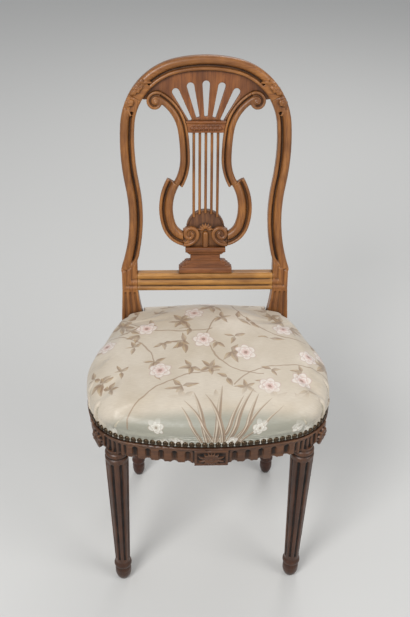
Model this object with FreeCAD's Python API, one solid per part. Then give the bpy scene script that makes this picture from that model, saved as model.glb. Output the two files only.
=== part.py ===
"""Lyre back side chair: carved wooden frame, strung lyre back and overstuffed, nailed seat.

Millimetres, +Z up. The chair faces -Y and its origin lies on the floor at the middle of its
bounding box. The back is drawn upright in its own plane, with x across, y from its front
face backwards and z up the back, and is then raked into place.
"""
import FreeCAD, Part
import math
import os

from FreeCAD import Vector

# Legs
front_leg_x = 172.0
front_leg_y = -190.0
rear_leg_x = 148.5
rear_leg_y = 103.5
front_leg_top_radius = 22.0
front_leg_ankle_radius = 14.6
rear_leg_top_radius = 18.6
rear_leg_ankle_radius = 12.2
collar_height = 12.0
neck_height = 6.0
foot_height = 50.0
front_foot_radius = 17.6
rear_foot_radius = 15.0
flute_count = 8
front_flute_radius = 3.6
rear_flute_radius = 3.0
flute_end_gap = 14.0

# Seat frame
rail_bottom = 364.0
frieze_top = 395.0
astragal_height = 5.0
astragal_reach = 2.8
rail_top = 413.0
rail_thickness = 26.0
cover_rebate = 3.0
seat_front_y = -237.0
seat_depth = 371.0
bow_radius = 579.0
bow_turn = 14.8
corner_radius = 98.0
corner_turn = 57.2
side_radius = 222.0
side_turn = 42.0
rear_corner_radius = 45.0
frieze_flute_pitch = 24.0
frieze_flute_radius = 5.6
frieze_flute_depth = 4.6
frieze_flute_gap = 3.5
die_flute_pitch = 10.5
die_flute_radius = 3.4
tablet_half_width = 30.0
tablet_reach = 4.0
tablet_drop = 3.0
tablet_frame = 4.0
front_die_x = 150.0
front_die_rear_y = -166.0
front_die_depth = 60.0
rosette_block_start = 43.0
rosette_block_end = 65.0
rosette_block_reach = 4.5
rosette_radius = 12.0

# Rear dies, where stile and rear leg are one piece
rear_die_inner_x = 126.0
rear_die_outer_x = 171.0
rear_die_front_y = 84.0
rear_die_rear_y = 131.0
rear_die_bottom = 352.0
rear_die_top = 427.0

# Seat joints
tenon_thickness = 9.0
tenon_height = 32.0
tenon_length = 20.0
tenon_clearance = 0.15
glue_gap = 0.05
hole_gap = 0.1
peg_radius = 2.6
peg_low = 21.5
peg_step = 7.0
corner_block_reach = 18.0
corner_block_drop = 7.0
corner_block_height = 34.0
screw_radius = 2.0
screw_head_radius = 4.2
screw_length = 40.0
screw_edge = 6.8

# Upholstery
web_width = 50.0
web_thickness = 1.5
web_gap = 22.0
hessian_thickness = 1.0
cover_thickness = 1.8
cover_hem = 402.0
crown_height = 473.0
cushion_bulge = 6.0
cushion_clearance = 0.3
nail_pitch = 11.5
nail_radius = 5.1
nail_rise = 3.0
nail_height = 406.9
nail_shank_radius = 0.8
nail_shank_length = 9.0

# Back plane
back_y = 116.0
back_z = 502.0
back_rake = 12.5

# Back frame, an arch that narrows to a waist
back_height = 462.6
band_width = 27.0
band_depth = 28.0
roll_width = 16.0
bead_width = 6.5
arch_radius = 275.0
arch_turn = 12.0
shoulder_radius = 134.5
shoulder_turn = 73.2
crest_roll_turn = 31.4
crest_block_turn = 16.8
post_block_turn = 12.5
leaf_lobe_radius = 4.2
leaf_lobe_rise = 2.2
flank_radius = 441.0
flank_turn = 15.7
waist_radius = 325.0
waist_turn = 30.0
curl_radius = 46.0
curl_turn = 70.0
curl_rise = 0.4
crest_tenon_width = 10.0
crest_tenon_depth = 12.0
crest_tenon_length = 22.0

# Lower back rail, the blocks at its ends and the stiles below
back_rail_height = 36.5
back_rail_depth = 24.0
block_inner_x = 137.0
block_outer_x = 168.5
block_height = 64.0
reed_rise = 3.5
mitre_line = 0.4
stile_front = 2.0
stile_length = 100.0
stile_flute_radius = 3.2

# Lyre
lyre_depth = 22.0
lyre_front = 3.0
arm_width = 19.0
arm_bead = 5.0
neck_x = 30.6
neck_z = 268.0
arm_rise_radius = 372.0
arm_rise_turn = 8.8
arm_curl_radius = 97.0
arm_curl_turn = 52.4
scroll_radii = (19.5, 16.5, 14.0, 12.0, 9.6, 8.0)
scroll_ridge = 5.6
bowl_width = 27.0
bowl_bead = 6.0
bowl_top_x = 75.0
bowl_top_z = 230.0
bowl_heading = -59.7
bowl_side_radius = 121.2
bowl_side_turn = 49.0
bowl_floor_radius = 56.4
bowl_floor_turn = 58.8
seam_x = 44.5
volute_radii = (27.0, 16.5, 16.0, 12.5, 10.0, 8.6)
volute_ridge = 7.0
husk_radius = 6.0
husk_top = 124.0
volute_bed_top = 126.0
cap_top = 91.5
cap_bottom = 80.0
cap_half_width = 40.0
neck_bottom = 62.0
neck_half_width = 30.0
plinth_top = 49.0
plinth_half_width = 53.5
pedestal_tongue = 6.0
soundboard_radius = 38.0
soundboard_z = 128.0
soundboard_depth = 11.0
soundboard_rim = 3.0
shell_z = 125.0
shell_radius = 13.0
shell_lobes = 7
yoke_bottom = 319.5
yoke_top = 342.0
yoke_depth = 17.0
yoke_bead_pitch = 9.0
string_count = 5
string_pitch = 11.65
string_radius = 2.75
string_socket = 7.0
dowel_radius = 3.0
dowel_length = 18.0

# Fan between the arms of the lyre
fan_depth = 11.0
fan_front = 12.0
fan_tongue = 5.0
fan_lap_depth = 4.0
fan_tip_turn = 46.0
fan_opening_count = 5
fan_opening_spread = 13.8
fan_opening_foot = 6.5
fan_opening_head = 14.0
fan_focus_drop = 57.0
fan_opening_start = 64.0
fan_opening_end = 131.0


def heading_vector(heading):
    """Unit vector in the plane for a heading in degrees, 0 along +x and 90 up."""
    return Vector(math.cos(math.radians(heading)), math.sin(math.radians(heading)), 0)


def travel(point, heading, path):
    """Follow arcs, (signed radius, turn), and lines, (0, length); left turns are positive."""
    for radius, amount in path:
        if radius == 0:
            point = point + heading_vector(heading) * amount
            continue
        side = 1 if radius > 0 else -1
        centre = point + heading_vector(heading + 90 * side) * abs(radius)
        heading += side * amount
        point = centre - heading_vector(heading + 90 * side) * abs(radius)
    return point, heading


def path_edges(point, heading, path):
    """Edges of a path of tangent arcs and lines."""
    edges = []
    for radius, amount in path:
        end, end_heading = travel(point, heading, [(radius, amount)])
        if radius == 0:
            edges.append(Part.makeLine(point, end))
        else:
            middle = travel(point, heading, [(radius, amount / 2)])[0]
            edges.append(Part.Arc(point, middle, end).toShape())
        point, heading = end, end_heading
    return edges


def shifted_path(path, offset):
    """The same path moved to its right by offset."""
    moved = []
    for radius, amount in path:
        moved.append((radius if radius == 0 else radius + offset, amount))
    return moved


def outline(points):
    """Closed wire in the xy plane. A point is (x, y), or (mid, end) for an arc through mid."""
    edges = []
    last = Vector(*points[0], 0)
    for step in points[1:] + [points[0]]:
        curved = isinstance(step[0], tuple)
        end = Vector(*(step[1] if curved else step), 0)
        if curved:
            edges.append(Part.Arc(last, Vector(*step[0], 0), end).toShape())
        elif end.distanceToPoint(last) > 1e-6:
            edges.append(Part.makeLine(last, end))
        last = end
    return Part.Wire(edges)


def face_of(points):
    return Part.Face(outline(points))


def upright(shape):
    """Turn a shape drawn in the xy plane so that its y becomes z."""
    turned = shape.copy()
    turned.rotate(Vector(0, 0, 0), Vector(1, 0, 0), 90)
    return turned


def slab(face, y, depth):
    """Solid of a face drawn in the xy plane, stood upright between y and y + depth."""
    stood = upright(face)
    stood.translate(Vector(0, y, 0))
    return stood.extrude(Vector(0, depth, 0))


def box(x0, x1, y0, y1, z0, z1, gap=0.0):
    """Box between three pairs of limits, grown all round by gap."""
    return Part.makeBox(x1 - x0 + 2 * gap, y1 - y0 + 2 * gap, z1 - z0 + 2 * gap,
                        Vector(x0 - gap, y0 - gap, z0 - gap))


def disc(x, z, radius, y, depth):
    return Part.makeCylinder(radius, depth, Vector(x, y, z), Vector(0, 1, 0))


def mirrored(shape):
    return shape.mirror(Vector(0, 0, 0), Vector(1, 0, 0))


def fused(shapes):
    if len(shapes) == 1:
        return shapes[0]
    return shapes[0].multiFuse(shapes[1:]).removeSplitter()


def both_sides(shape):
    return fused([shape, mirrored(shape)])


def cut_both(shape, tool):
    return shape.cut(tool).cut(mirrored(tool))


def sweep(section, point, heading, path):
    """Carry a section along a path in the xz plane.

    The section lies in the xy plane, x to the right of travel and y away from the viewer.
    """
    pieces = []
    for radius, amount in path:
        face = section.copy()
        face.rotate(Vector(0, 0, 0), Vector(0, 1, 0), 90 - heading)
        face.translate(Vector(point.x, 0, point.y))
        if radius == 0:
            run = heading_vector(heading) * amount
            pieces.append(face.extrude(Vector(run.x, 0, run.y)))
        else:
            side = 1 if radius > 0 else -1
            centre = point + heading_vector(heading + 90 * side) * abs(radius)
            pieces.append(face.revolve(Vector(centre.x, 0, centre.y), Vector(0, -side, 0), amount))
        point, heading = travel(point, heading, [(radius, amount)])
    return fused(pieces)


def laid_flat(shape):
    """Turn a sweep of the xz plane into the xy plane; the section's y then points down."""
    turned = shape.copy()
    turned.rotate(Vector(0, 0, 0), Vector(1, 0, 0), -90)
    return turned


def raked(shape):
    """Place a shape of the back's own plane in the chair."""
    placed = shape.copy()
    placed.rotate(Vector(0, 0, 0), Vector(1, 0, 0), -back_rake)
    placed.translate(Vector(0, back_y, back_z))
    return placed


def dome(centre, out, radius, rise, root=1.5):
    """A low dome facing the way of out, on a root that is let into what carries it."""
    cap = (radius ** 2 + rise ** 2) / (2 * rise)
    half = math.asin(min(1.0, radius / cap)) / 2
    shoulder = (cap * math.sin(half), rise - cap + cap * math.cos(half))
    profile = face_of([(0, -root), (radius, -root), (radius, 0), (shoulder, (0, rise))])
    shape = profile.revolve(Vector(0, 0, 0), Vector(0, 1, 0), 360)
    turn = FreeCAD.Rotation(Vector(0, 1, 0), out)
    shape.rotate(Vector(0, 0, 0), turn.Axis, math.degrees(turn.Angle))
    shape.translate(centre)
    return shape


def rosette(centre, out, radius, petals):
    """Raised button with a ring of round petals."""
    across = Vector(-out.y, out.x, 0)
    pieces = [dome(centre, out, radius * 0.34, radius * 0.26)]
    for index in range(petals):
        turn = 2 * math.pi * (index + 0.5) / petals
        offset = across * (math.cos(turn) * radius * 0.66) + Vector(0, 0, math.sin(turn) * radius * 0.66)
        pieces.append(dome(centre + offset, out, radius * 0.3, radius * 0.18))
    return pieces


# Seat outline, from the middle of the front round the right-hand side to the middle of the rear
def seat_path():
    """Right half of the seat frame's outer face."""
    path = [(bow_radius, bow_turn), (corner_radius, corner_turn), (side_radius, side_turn)]
    point, heading = travel(Vector(0, seat_front_y, 0), 0, path)
    corner_rise = rear_corner_radius * (1 + math.cos(math.radians(heading)))
    flank = (seat_front_y + seat_depth - corner_rise - point.y) / math.sin(math.radians(heading))
    path += [(0, flank), (rear_corner_radius, 180 - heading)]
    point = travel(Vector(0, seat_front_y, 0), 0, path)[0]
    return path + [(0, point.x)]


def step_length(radius, amount):
    return amount if radius == 0 else math.radians(amount) * radius


def seat_length():
    return sum(step_length(radius, amount) for radius, amount in seat_path())


def seat_station(distance, offset=0.0):
    """Point and heading on the seat outline at a distance from its front middle."""
    point, heading = Vector(0, seat_front_y, 0), 0
    for radius, amount in seat_path():
        length = step_length(radius, amount)
        share = min(distance, length) / length
        point, heading = travel(point, heading, [(radius, amount * share)])
        distance -= length * share
        if distance <= 1e-9:
            break
    return point + heading_vector(heading - 90) * offset, heading


def corner_distance(heading):
    """Distance along the outline at which the front corner has a heading."""
    return math.radians(bow_turn) * bow_radius + math.radians(heading - bow_turn) * corner_radius


def corner_centre():
    """Centre of the front corner's arc."""
    point, heading = travel(Vector(0, seat_front_y, 0), 0, [(bow_radius, bow_turn)])
    return point + heading_vector(heading + 90) * corner_radius


def flank_x(y):
    """x of the outline where its straight flank passes a depth y."""
    point, heading = travel(Vector(0, seat_front_y, 0), 0, seat_path()[:3])
    return point.x + (y - point.y) / math.tan(math.radians(heading))


def seat_wire(offset, z, scale=1.0):
    """Closed outline of the seat, moved out by offset and scaled about the seat's middle."""
    right = path_edges(Vector(0, seat_front_y - offset, 0), 0, shifted_path(seat_path(), offset))
    wire = Part.Wire(right + [mirrored(edge) for edge in reversed(right)])
    middle = Vector(0, seat_front_y + seat_depth / 2, 0)
    wire.translate(middle * -1)
    wire.scale(scale)
    wire.translate(middle + Vector(0, 0, z))
    return wire


def seat_prism(offset, low, high):
    return Part.Face(seat_wire(offset, low)).extrude(Vector(0, 0, high - low))


def rail_section(thickness):
    """Section of the seat frame: x outwards from its face, y downwards."""
    bead_top = frieze_top + astragal_height
    bead_middle = frieze_top + astragal_height / 2
    return face_of([
        (0, -rail_bottom), (0, -frieze_top), ((astragal_reach, -bead_middle), (0, -bead_top)),
        (-cover_rebate, -bead_top), (-cover_rebate, -rail_top), (-thickness, -rail_top),
        (-thickness, -rail_bottom)])


def seat_ring(thickness, path):
    """Right-hand length of the seat frame that follows path from the front middle."""
    return laid_flat(sweep(rail_section(thickness), Vector(0, seat_front_y, 0), 0, path))


def flute_stations():
    """Distance and radius of every frieze flute of the right half."""
    die_start = bow_radius * math.asin(front_die_x / bow_radius)
    block_start = corner_distance(rosette_block_start)
    block_end = corner_distance(rosette_block_end)
    stations = []
    distance = tablet_half_width + frieze_flute_pitch / 2
    while distance + frieze_flute_radius < die_start:
        stations.append((distance, frieze_flute_radius))
        distance += frieze_flute_pitch
    distance = die_start + die_flute_pitch / 2
    while distance + die_flute_radius < block_start:
        stations.append((distance, die_flute_radius))
        distance += die_flute_pitch
    distance = block_end + frieze_flute_pitch / 2
    while distance < seat_length():
        stations.append((distance, frieze_flute_radius))
        distance += frieze_flute_pitch
    return stations


def frieze_flutes():
    """Round-topped upright flutes, open at the rails' lower edge."""
    tools = []
    for distance, radius in flute_stations():
        offset = radius * (1 - frieze_flute_depth / frieze_flute_radius)
        point = seat_station(distance, offset)[0]
        top = frieze_top - frieze_flute_gap - radius
        stem = Part.makeCylinder(radius, top - rail_bottom + 1, Vector(point.x, point.y, rail_bottom - 1))
        head = Part.makeSphere(radius, Vector(point.x, point.y, top))
        tools += [stem, head, mirrored(stem), mirrored(head)]
    return Part.makeCompound(tools)


# Nails of the cover
def nail_places():
    """Base point and outward direction of every nail, clear of the rear posts."""
    total = seat_length()
    count = int(total / nail_pitch)
    places = []
    for index in range(count + 1):
        point, heading = seat_station(total * index / count, cover_thickness - cover_rebate + glue_gap)
        near_post = point.y > rear_die_front_y - nail_radius - 2
        if near_post and point.x > rear_die_inner_x - nail_radius - 2:
            continue
        out = heading_vector(heading - 90)
        places.append((Vector(point.x, point.y, nail_height), out))
        if 0 < index < count:
            places.append((Vector(-point.x, point.y, nail_height), Vector(-out.x, out.y, 0)))
    return places


def upholstery_nails():
    """Domed nails on short shanks, one after the other round the seat."""
    nails = []
    for base, out in nail_places():
        shank = Part.makeCylinder(nail_shank_radius, nail_shank_length, base, out * -1)
        nails.append(dome(base, out, nail_radius, nail_rise, 0.0).fuse(shank))
    return Part.makeCompound(nails)


def nail_holes():
    holes = []
    for base, out in nail_places():
        holes.append(Part.makeCylinder(nail_shank_radius + glue_gap, nail_shank_length + 0.5, base, out * -1))
    return Part.makeCompound(holes)


# Joints of the right half of the seat frame
def tenon(name, gap=0.0):
    """Tongue of a seat rail, as a box."""
    low = (rail_bottom + rail_top - tenon_height) / 2
    high = low + tenon_height
    half = tenon_thickness / 2
    if name == "front":
        face_y = seat_station(bow_radius * math.asin(front_die_x / bow_radius))[0].y
        y = face_y + rail_thickness * 0.75
        return box(front_die_x - 1, front_die_x + tenon_length, y - half, y + half, low, high, gap)
    if name == "side_front":
        centre = corner_centre()
        x = centre.x + math.sqrt(corner_radius ** 2 - (centre.y - front_die_rear_y) ** 2)
        x -= rail_thickness * 0.84
        return box(x - half, x + half, front_die_rear_y - tenon_length, front_die_rear_y + 1, low, high, gap)
    if name == "side_rear":
        x = flank_x(rear_die_front_y) - rail_thickness * 0.58
        return box(x - half, x + half, rear_die_front_y - 1, rear_die_front_y + tenon_length, low, high, gap)
    y = seat_front_y + seat_depth - rail_thickness / 2
    return box(rear_die_inner_x - 1, rear_die_inner_x + tenon_length, y - half, y + half, low, high, gap)


def seat_pegs(gap=0.0):
    """Pegs through the four right-hand seat joints, flush with the dies' inner faces."""
    low = rail_bottom + peg_low
    high = low + peg_step
    front = tenon("front").BoundBox
    side_front = tenon("side_front").BoundBox
    side_rear = tenon("side_rear").BoundBox
    rear = tenon("rear").BoundBox
    lines = [
        (Vector(front_die_x + tenon_length / 2, front_die_rear_y, high), Vector(0, -1, 0),
         front_die_rear_y - front.YMin),
        (Vector(front_die_x, front_die_rear_y - tenon_length / 2, low), Vector(1, 0, 0),
         side_front.XMax - front_die_x),
        (Vector(rear_die_inner_x, rear_die_front_y + tenon_length / 2, low), Vector(1, 0, 0),
         side_rear.XMax - rear_die_inner_x),
        (Vector(rear_die_inner_x + tenon_length / 2, rear_die_front_y, high), Vector(0, 1, 0),
         rear.YMax - rear_die_front_y)]
    radius = peg_radius + gap
    return [Part.makeCylinder(radius, length + gap, start, way) for start, way, length in lines]


def joint_pegs():
    pegs = seat_pegs()
    return Part.makeCompound(pegs + [mirrored(peg) for peg in pegs])


def screw_places():
    """Head centre and direction of the right-hand corner block screws."""
    top = rail_top - corner_block_drop
    heights = (top - screw_edge, top - corner_block_height + screw_edge)
    corners = (
        (Vector(front_die_x, front_die_rear_y, 0), heading_vector(-45)),
        (Vector(rear_die_inner_x, rear_die_front_y, 0), heading_vector(45)))
    places = []
    for corner, way in corners:
        for z in heights:
            places.append((corner - way * corner_block_reach + Vector(0, 0, z), way))
    return places


def screw(place, gap=0.0):
    """Screw with a countersunk head, flush with the block's face."""
    start, way = place
    length = screw_length + gap
    head = Part.makeCone(screw_head_radius + gap, screw_radius + gap, 3.5, start, way)
    return head.fuse(Part.makeCylinder(screw_radius + gap, length, start, way)).removeSplitter()


def corner_block_screws():
    pieces = [screw(place) for place in screw_places()]
    return Part.makeCompound(pieces + [mirrored(piece) for piece in pieces])


def screw_holes():
    return Part.makeCompound([screw(place, hole_gap) for place in screw_places()])


def corner_block(front):
    """Glue block across the inside of a right-hand corner, fitted to rails and die."""
    top = rail_top - corner_block_drop
    low = top - corner_block_height
    corner = Vector(front_die_x, front_die_rear_y, 0)
    heading = -45
    die = box(front_die_x, front_die_x + 200, front_die_rear_y - 200, front_die_rear_y, low - 1, top + 1)
    if not front:
        corner = Vector(rear_die_inner_x, rear_die_front_y, 0)
        heading = 45
        die = box(rear_die_inner_x, rear_die_inner_x + 200, rear_die_front_y, rear_die_front_y + 200,
                  low - 1, top + 1)
    wedge = Part.makeBox(200, 400, top - low, Vector(0, -200, low))
    wedge.rotate(Vector(0, 0, 0), Vector(0, 0, 1), heading)
    wedge.translate(corner - heading_vector(heading) * corner_block_reach)
    block = seat_prism(-rail_thickness, low, top).common(wedge).cut(die)
    return block.cut(screw_holes())


# Legs
def turned(profile, x, y):
    """Revolve a half profile of (radius, height) points about an upright axis."""
    solid = upright(face_of(profile)).revolve(Vector(0, 0, 0), Vector(0, 0, 1), 360)
    solid.translate(Vector(x, y, 0))
    return solid


def flute(foot, head, foot_radius, head_radius):
    """Tool for one flute, a tapered round bar with round ends."""
    run = head - foot
    length = run.Length
    share = math.sqrt(0.5)
    profile = face_of([
        (0, -foot_radius), ((foot_radius * share, -foot_radius * share), (foot_radius, 0)),
        (head_radius, length),
        ((head_radius * share, length + head_radius * share), (0, length + head_radius))])
    tool = profile.revolve(Vector(0, 0, 0), Vector(0, 1, 0), 360)
    turn = FreeCAD.Rotation(Vector(0, 1, 0), run)
    tool.rotate(Vector(0, 0, 0), turn.Axis, math.degrees(turn.Angle))
    tool.translate(foot)
    return tool


def leg_flutes(x, y, top, top_radius, ankle_radius, flute_radius):
    """Round-ended flutes that follow the leg's taper."""
    low = foot_height + flute_end_gap
    high = top - flute_end_gap
    slope = (top_radius - ankle_radius) / (top - foot_height)
    low_radius = ankle_radius + slope * (low - foot_height)
    high_radius = ankle_radius + slope * (high - foot_height)
    tools = []
    for index in range(flute_count):
        way = heading_vector(360 / flute_count * (index + 0.5) + 90)
        foot = Vector(x, y, low) + way * low_radius
        head = Vector(x, y, high) + way * high_radius
        tools.append(flute(foot, head, flute_radius * 0.8, flute_radius))
    return Part.makeCompound(tools)


def turned_leg(x, y, top, top_radius, ankle_radius, foot_radius, flute_radius):
    """Neck, collar, tapered fluted shaft and a small turned foot."""
    collar_top = top - neck_height
    shaft_top = collar_top - collar_height
    waist = top_radius * 0.86
    collar = top_radius * 0.98
    foot_neck = ankle_radius * 0.94
    profile = [
        (0, 0), (foot_radius * 0.5, 0),
        ((foot_radius * 0.8, foot_height * 0.2), (foot_radius * 0.9, foot_height * 0.5)),
        ((foot_radius * 0.88, foot_height * 0.62), (foot_neck, foot_height * 0.7)),
        (foot_neck, foot_height * 0.76), (foot_radius * 0.96, foot_height * 0.8),
        ((foot_radius, foot_height * 0.88), (foot_radius * 0.96, foot_height * 0.96)),
        (ankle_radius, foot_height + 2), (top_radius, shaft_top - 2), (waist, shaft_top),
        (waist, shaft_top + 2),
        ((collar, shaft_top + collar_height * 0.6), (waist, collar_top)),
        (waist * 0.94, collar_top + 1), (waist, top + 2), (0, top + 2)]
    leg = turned(profile, x, y)
    return leg.cut(leg_flutes(x, y, shaft_top, top_radius, ankle_radius, flute_radius))


def rosette_block():
    """Projecting block on the rounded front corner, with its rosette and a corbel below."""
    point, heading = seat_station(corner_distance(rosette_block_start))
    reach = rosette_block_reach
    inner = front_die_depth * 0.55
    top = frieze_top + astragal_height
    section = face_of([
        (-inner, -rail_bottom + 8), (-rail_thickness * 0.8, -rail_bottom + 6),
        ((-rail_thickness * 0.2, -rail_bottom + 3), (reach * 0.6, -rail_bottom - 7)),
        (reach, -rail_bottom - 9), (reach, -top + 2), (reach - 2, -top), (-inner, -top)])
    turn = rosette_block_end - rosette_block_start
    block = laid_flat(sweep(section, point, heading, [(corner_radius, turn)]))
    middle = corner_distance((rosette_block_start + rosette_block_end) / 2)
    centre, heading = seat_station(middle, reach - 0.4)
    centre.z = (rail_bottom + top) / 2 + 2
    return fused([block] + rosette(centre, heading_vector(heading - 90), rosette_radius, 8))


def front_leg():
    """Right front leg: fluted corner die with its rosette block, then the turned leg."""
    ring = seat_ring(front_die_depth, seat_path()[:3])
    zone = box(front_die_x, front_die_x + 90, seat_front_y - 10, front_die_rear_y, rail_bottom - 5, rail_top + 5)
    die = ring.common(zone).cut(frieze_flutes())
    block = rosette_block().common(zone)
    leg = turned_leg(front_leg_x, front_leg_y, rail_bottom, front_leg_top_radius,
                     front_leg_ankle_radius, front_foot_radius, front_flute_radius)
    whole = fused([die, block, leg])
    whole = whole.cut(tenon("front", tenon_clearance)).cut(tenon("side_front", tenon_clearance))
    whole = whole.cut(Part.makeCompound(seat_pegs(glue_gap))).cut(screw_holes())
    return whole.cut(nail_holes())


# Seat rails
def tablet():
    """Framed middle tablet of the front rail with a radiating rosette."""
    half_turn = math.degrees(tablet_half_width / bow_radius)
    section = face_of([
        (-rail_thickness / 2, -rail_bottom + tablet_drop), (tablet_reach, -rail_bottom + tablet_drop),
        (tablet_reach, -frieze_top), (-rail_thickness / 2, -frieze_top)])
    start, back_heading = travel(Vector(0, seat_front_y, 0), 180, [(-bow_radius, half_turn)])
    body = laid_flat(sweep(section, start, back_heading - 180, [(bow_radius, 2 * half_turn)]))
    middle_z = (rail_bottom - tablet_drop + frieze_top) / 2
    half_height = (frieze_top - rail_bottom + tablet_drop) / 2 - tablet_frame
    half_width = tablet_half_width - tablet_frame
    sunk_y = seat_front_y - tablet_reach + 2
    field = box(-half_width, half_width, sunk_y - 4, sunk_y, middle_z - half_height, middle_z + half_height)
    body = body.cut(field)
    out = Vector(0, -1, 0)
    pieces = [body, dome(Vector(0, sunk_y, middle_z), out, 4.5, 2.4)]
    for index in range(12):
        turn = 2 * math.pi * index / 12
        reach_x = math.cos(turn) * half_width * 0.6
        reach_z = math.sin(turn) * half_height * 0.62
        pieces.append(dome(Vector(reach_x, sunk_y, middle_z + reach_z), out, 3.0, 1.6))
    return fused(pieces)


def rail_between(zone, tenons):
    """Length of the seat frame inside a zone, with its tongues, peg holes and nail holes."""
    ring = seat_ring(rail_thickness, seat_path())
    rail = both_sides(ring).common(zone).cut(frieze_flutes())
    rail = fused([rail] + tenons)
    pegs = seat_pegs(glue_gap)
    rail = rail.cut(Part.makeCompound(pegs + [mirrored(peg) for peg in pegs]))
    rail = cut_both(rail, screw_holes())
    return rail.cut(nail_holes())


def front_seat_rail():
    """Bowed, fluted front rail with its middle tablet."""
    zone = box(-front_die_x, front_die_x, seat_front_y - 10, front_die_rear_y, rail_bottom - 5, rail_top + 5)
    tongue = tenon("front")
    return fused([rail_between(zone, [tongue, mirrored(tongue)]), tablet()])


def side_seat_rail():
    """Right side rail, from the front die to the rear die."""
    zone = box(50, 300, front_die_rear_y, rear_die_front_y, rail_bottom - 5, rail_top + 5)
    return rail_between(zone, [tenon("side_front"), tenon("side_rear")])


def rear_seat_rail():
    """Straight rear rail between the rear dies."""
    zone = box(-rear_die_inner_x, rear_die_inner_x, 0, seat_front_y + seat_depth + 10,
               rail_bottom - 5, rail_top + 5)
    tongue = tenon("rear")
    return rail_between(zone, [tongue, mirrored(tongue)])


# Back frame
def flipped(step):
    """Mirror a point, or an arc step, of a section left to right."""
    if isinstance(step[0], tuple):
        return tuple(flipped(part) for part in step)
    return (-step[0], step[1])


def band_section(width, depth, roll, bead, front, bead_right):
    """Moulded section: a broad roll at one edge, a hollow and a bead at the other."""
    half = width / 2
    step = front + roll * 0.42
    bead_foot = front + roll * 0.46
    hollow = front + roll * 0.62
    bead_front = front + roll * 0.2
    chamfer = depth * 0.2
    back = front + depth
    roll_edge = -half + roll
    bead_edge = half - bead
    points = [
        (-half, step), ((-half + roll / 2, front), (roll_edge, step)),
        (((roll_edge + bead_edge) / 2, hollow), (bead_edge, bead_foot)),
        ((half - bead / 2, bead_front), (half, bead_foot)),
        (half, back - chamfer), (half - chamfer, back), (-half + chamfer, back), (-half, back - chamfer)]
    if not bead_right:
        points = [flipped(step) for step in points]
    return face_of(points)


def block_section(width, depth):
    """Plain section of the carved shoulder blocks."""
    half = width / 2
    edge = depth * 0.1
    return face_of([
        (-half, edge * 2), (-half + edge, edge), (half - edge, edge), (half, edge * 2),
        (half, depth - edge), (half - edge, depth), (-half + edge, depth), (-half, depth - edge)])


def arch_path(*names):
    """Middle line of the right half of the arch, made of its named lengths in turn."""
    half = band_width / 2
    shoulder = -(shoulder_radius - half)
    rest = shoulder_turn - crest_roll_turn - crest_block_turn - post_block_turn
    lengths = {
        "crest_roll": [(-(arch_radius - half), arch_turn), (shoulder, crest_roll_turn)],
        "crest_block": [(shoulder, crest_block_turn)],
        "post_block": [(shoulder, post_block_turn)],
        "post_roll": [(shoulder, rest), (-(flank_radius - half), flank_turn), (waist_radius + half, waist_turn)]}
    path = []
    for name in names:
        path += lengths[name]
    return path


def arch_station(*names):
    """Point and heading of the arch's middle line after the named lengths."""
    return travel(Vector(0, back_height - band_width / 2, 0), 0, arch_path(*names))


def arch_roll(start_names, name):
    """Moulded length of the arch."""
    point, heading = arch_station(*start_names)
    section = band_section(band_width, band_depth, roll_width, bead_width, 0, True)
    return sweep(section, point, heading, arch_path(name))


def shoulder_block(start_names, name):
    """Carved length of a shoulder: a plain block with a raised leaf along its outer half."""
    point, heading = arch_station(*start_names)
    block = sweep(block_section(band_width, band_depth), point, heading, arch_path(name))
    radius, turn = arch_path(name)[0]
    pieces = [block]
    lobes = int(radius * math.radians(turn) / (-2 * leaf_lobe_radius))
    for index in range(lobes):
        spot, spot_heading = travel(point, heading, [(radius, turn * (index + 0.5) / lobes)])
        shift = band_width * (0.26 if index % 2 else 0.12)
        spot = spot + heading_vector(spot_heading + 90) * shift
        pieces.append(dome(Vector(spot.x, band_depth * 0.1 + 0.2, spot.y), Vector(0, -1, 0), leaf_lobe_radius, leaf_lobe_rise))
    return fused(pieces)


def crest_tenon(gap=0.0):
    """Tongue on the right post's head that enters the crest rail."""
    point, heading = arch_station("crest_roll", "crest_block")
    half = crest_tenon_width / 2
    middle = band_depth / 2 + 1
    tongue = box(-half, half, middle - crest_tenon_depth / 2, middle + crest_tenon_depth / 2,
                 -2, crest_tenon_length, gap)
    tongue.rotate(Vector(0, 0, 0), Vector(0, 1, 0), -90 - heading)
    tongue.translate(Vector(point.x, 0, point.y))
    return tongue


def crest_rail():
    """Arched top rail with a carved block at each shoulder and a groove for the fan."""
    right = fused([arch_roll((), "crest_roll"), shoulder_block(("crest_roll",), "crest_block")])
    whole = cut_both(both_sides(right), crest_tenon(tenon_clearance))
    return whole.cut(fan_blank(tenon_clearance))


def reeds(height, depth, length):
    """Reeded moulding that runs along +x, height up z."""
    groove = reed_rise * 2
    points = [
        (0, reed_rise), ((height * 0.12, 1), (height * 0.25, reed_rise)), (height * 0.27, groove),
        (height * 0.3, reed_rise), ((height * 0.46, 0.5), (height * 0.62, reed_rise)),
        (height * 0.64, groove), (height * 0.67, reed_rise),
        ((height * 0.84, 1), (height, reed_rise + 1)), (height, depth), (0, depth)]
    section = face_of(points)
    section.rotate(Vector(0, 0, 0), Vector(0, 1, 0), -90)
    return section.extrude(Vector(length, 0, 0))


def back_rail_tenon(gap=0.0):
    middle = back_rail_depth / 2 + 3
    half = tenon_thickness / 2
    return box(block_inner_x - 1, block_inner_x + tenon_length, middle - half, middle + half,
               6, back_rail_height - 6, gap)


def pedestal_tenon(gap=0.0):
    middle = lyre_front + lyre_depth / 2
    half = tenon_thickness / 2
    return box(-neck_half_width, neck_half_width, middle - half, middle + half,
               back_rail_height - pedestal_tongue, back_rail_height + 2, gap)


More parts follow.
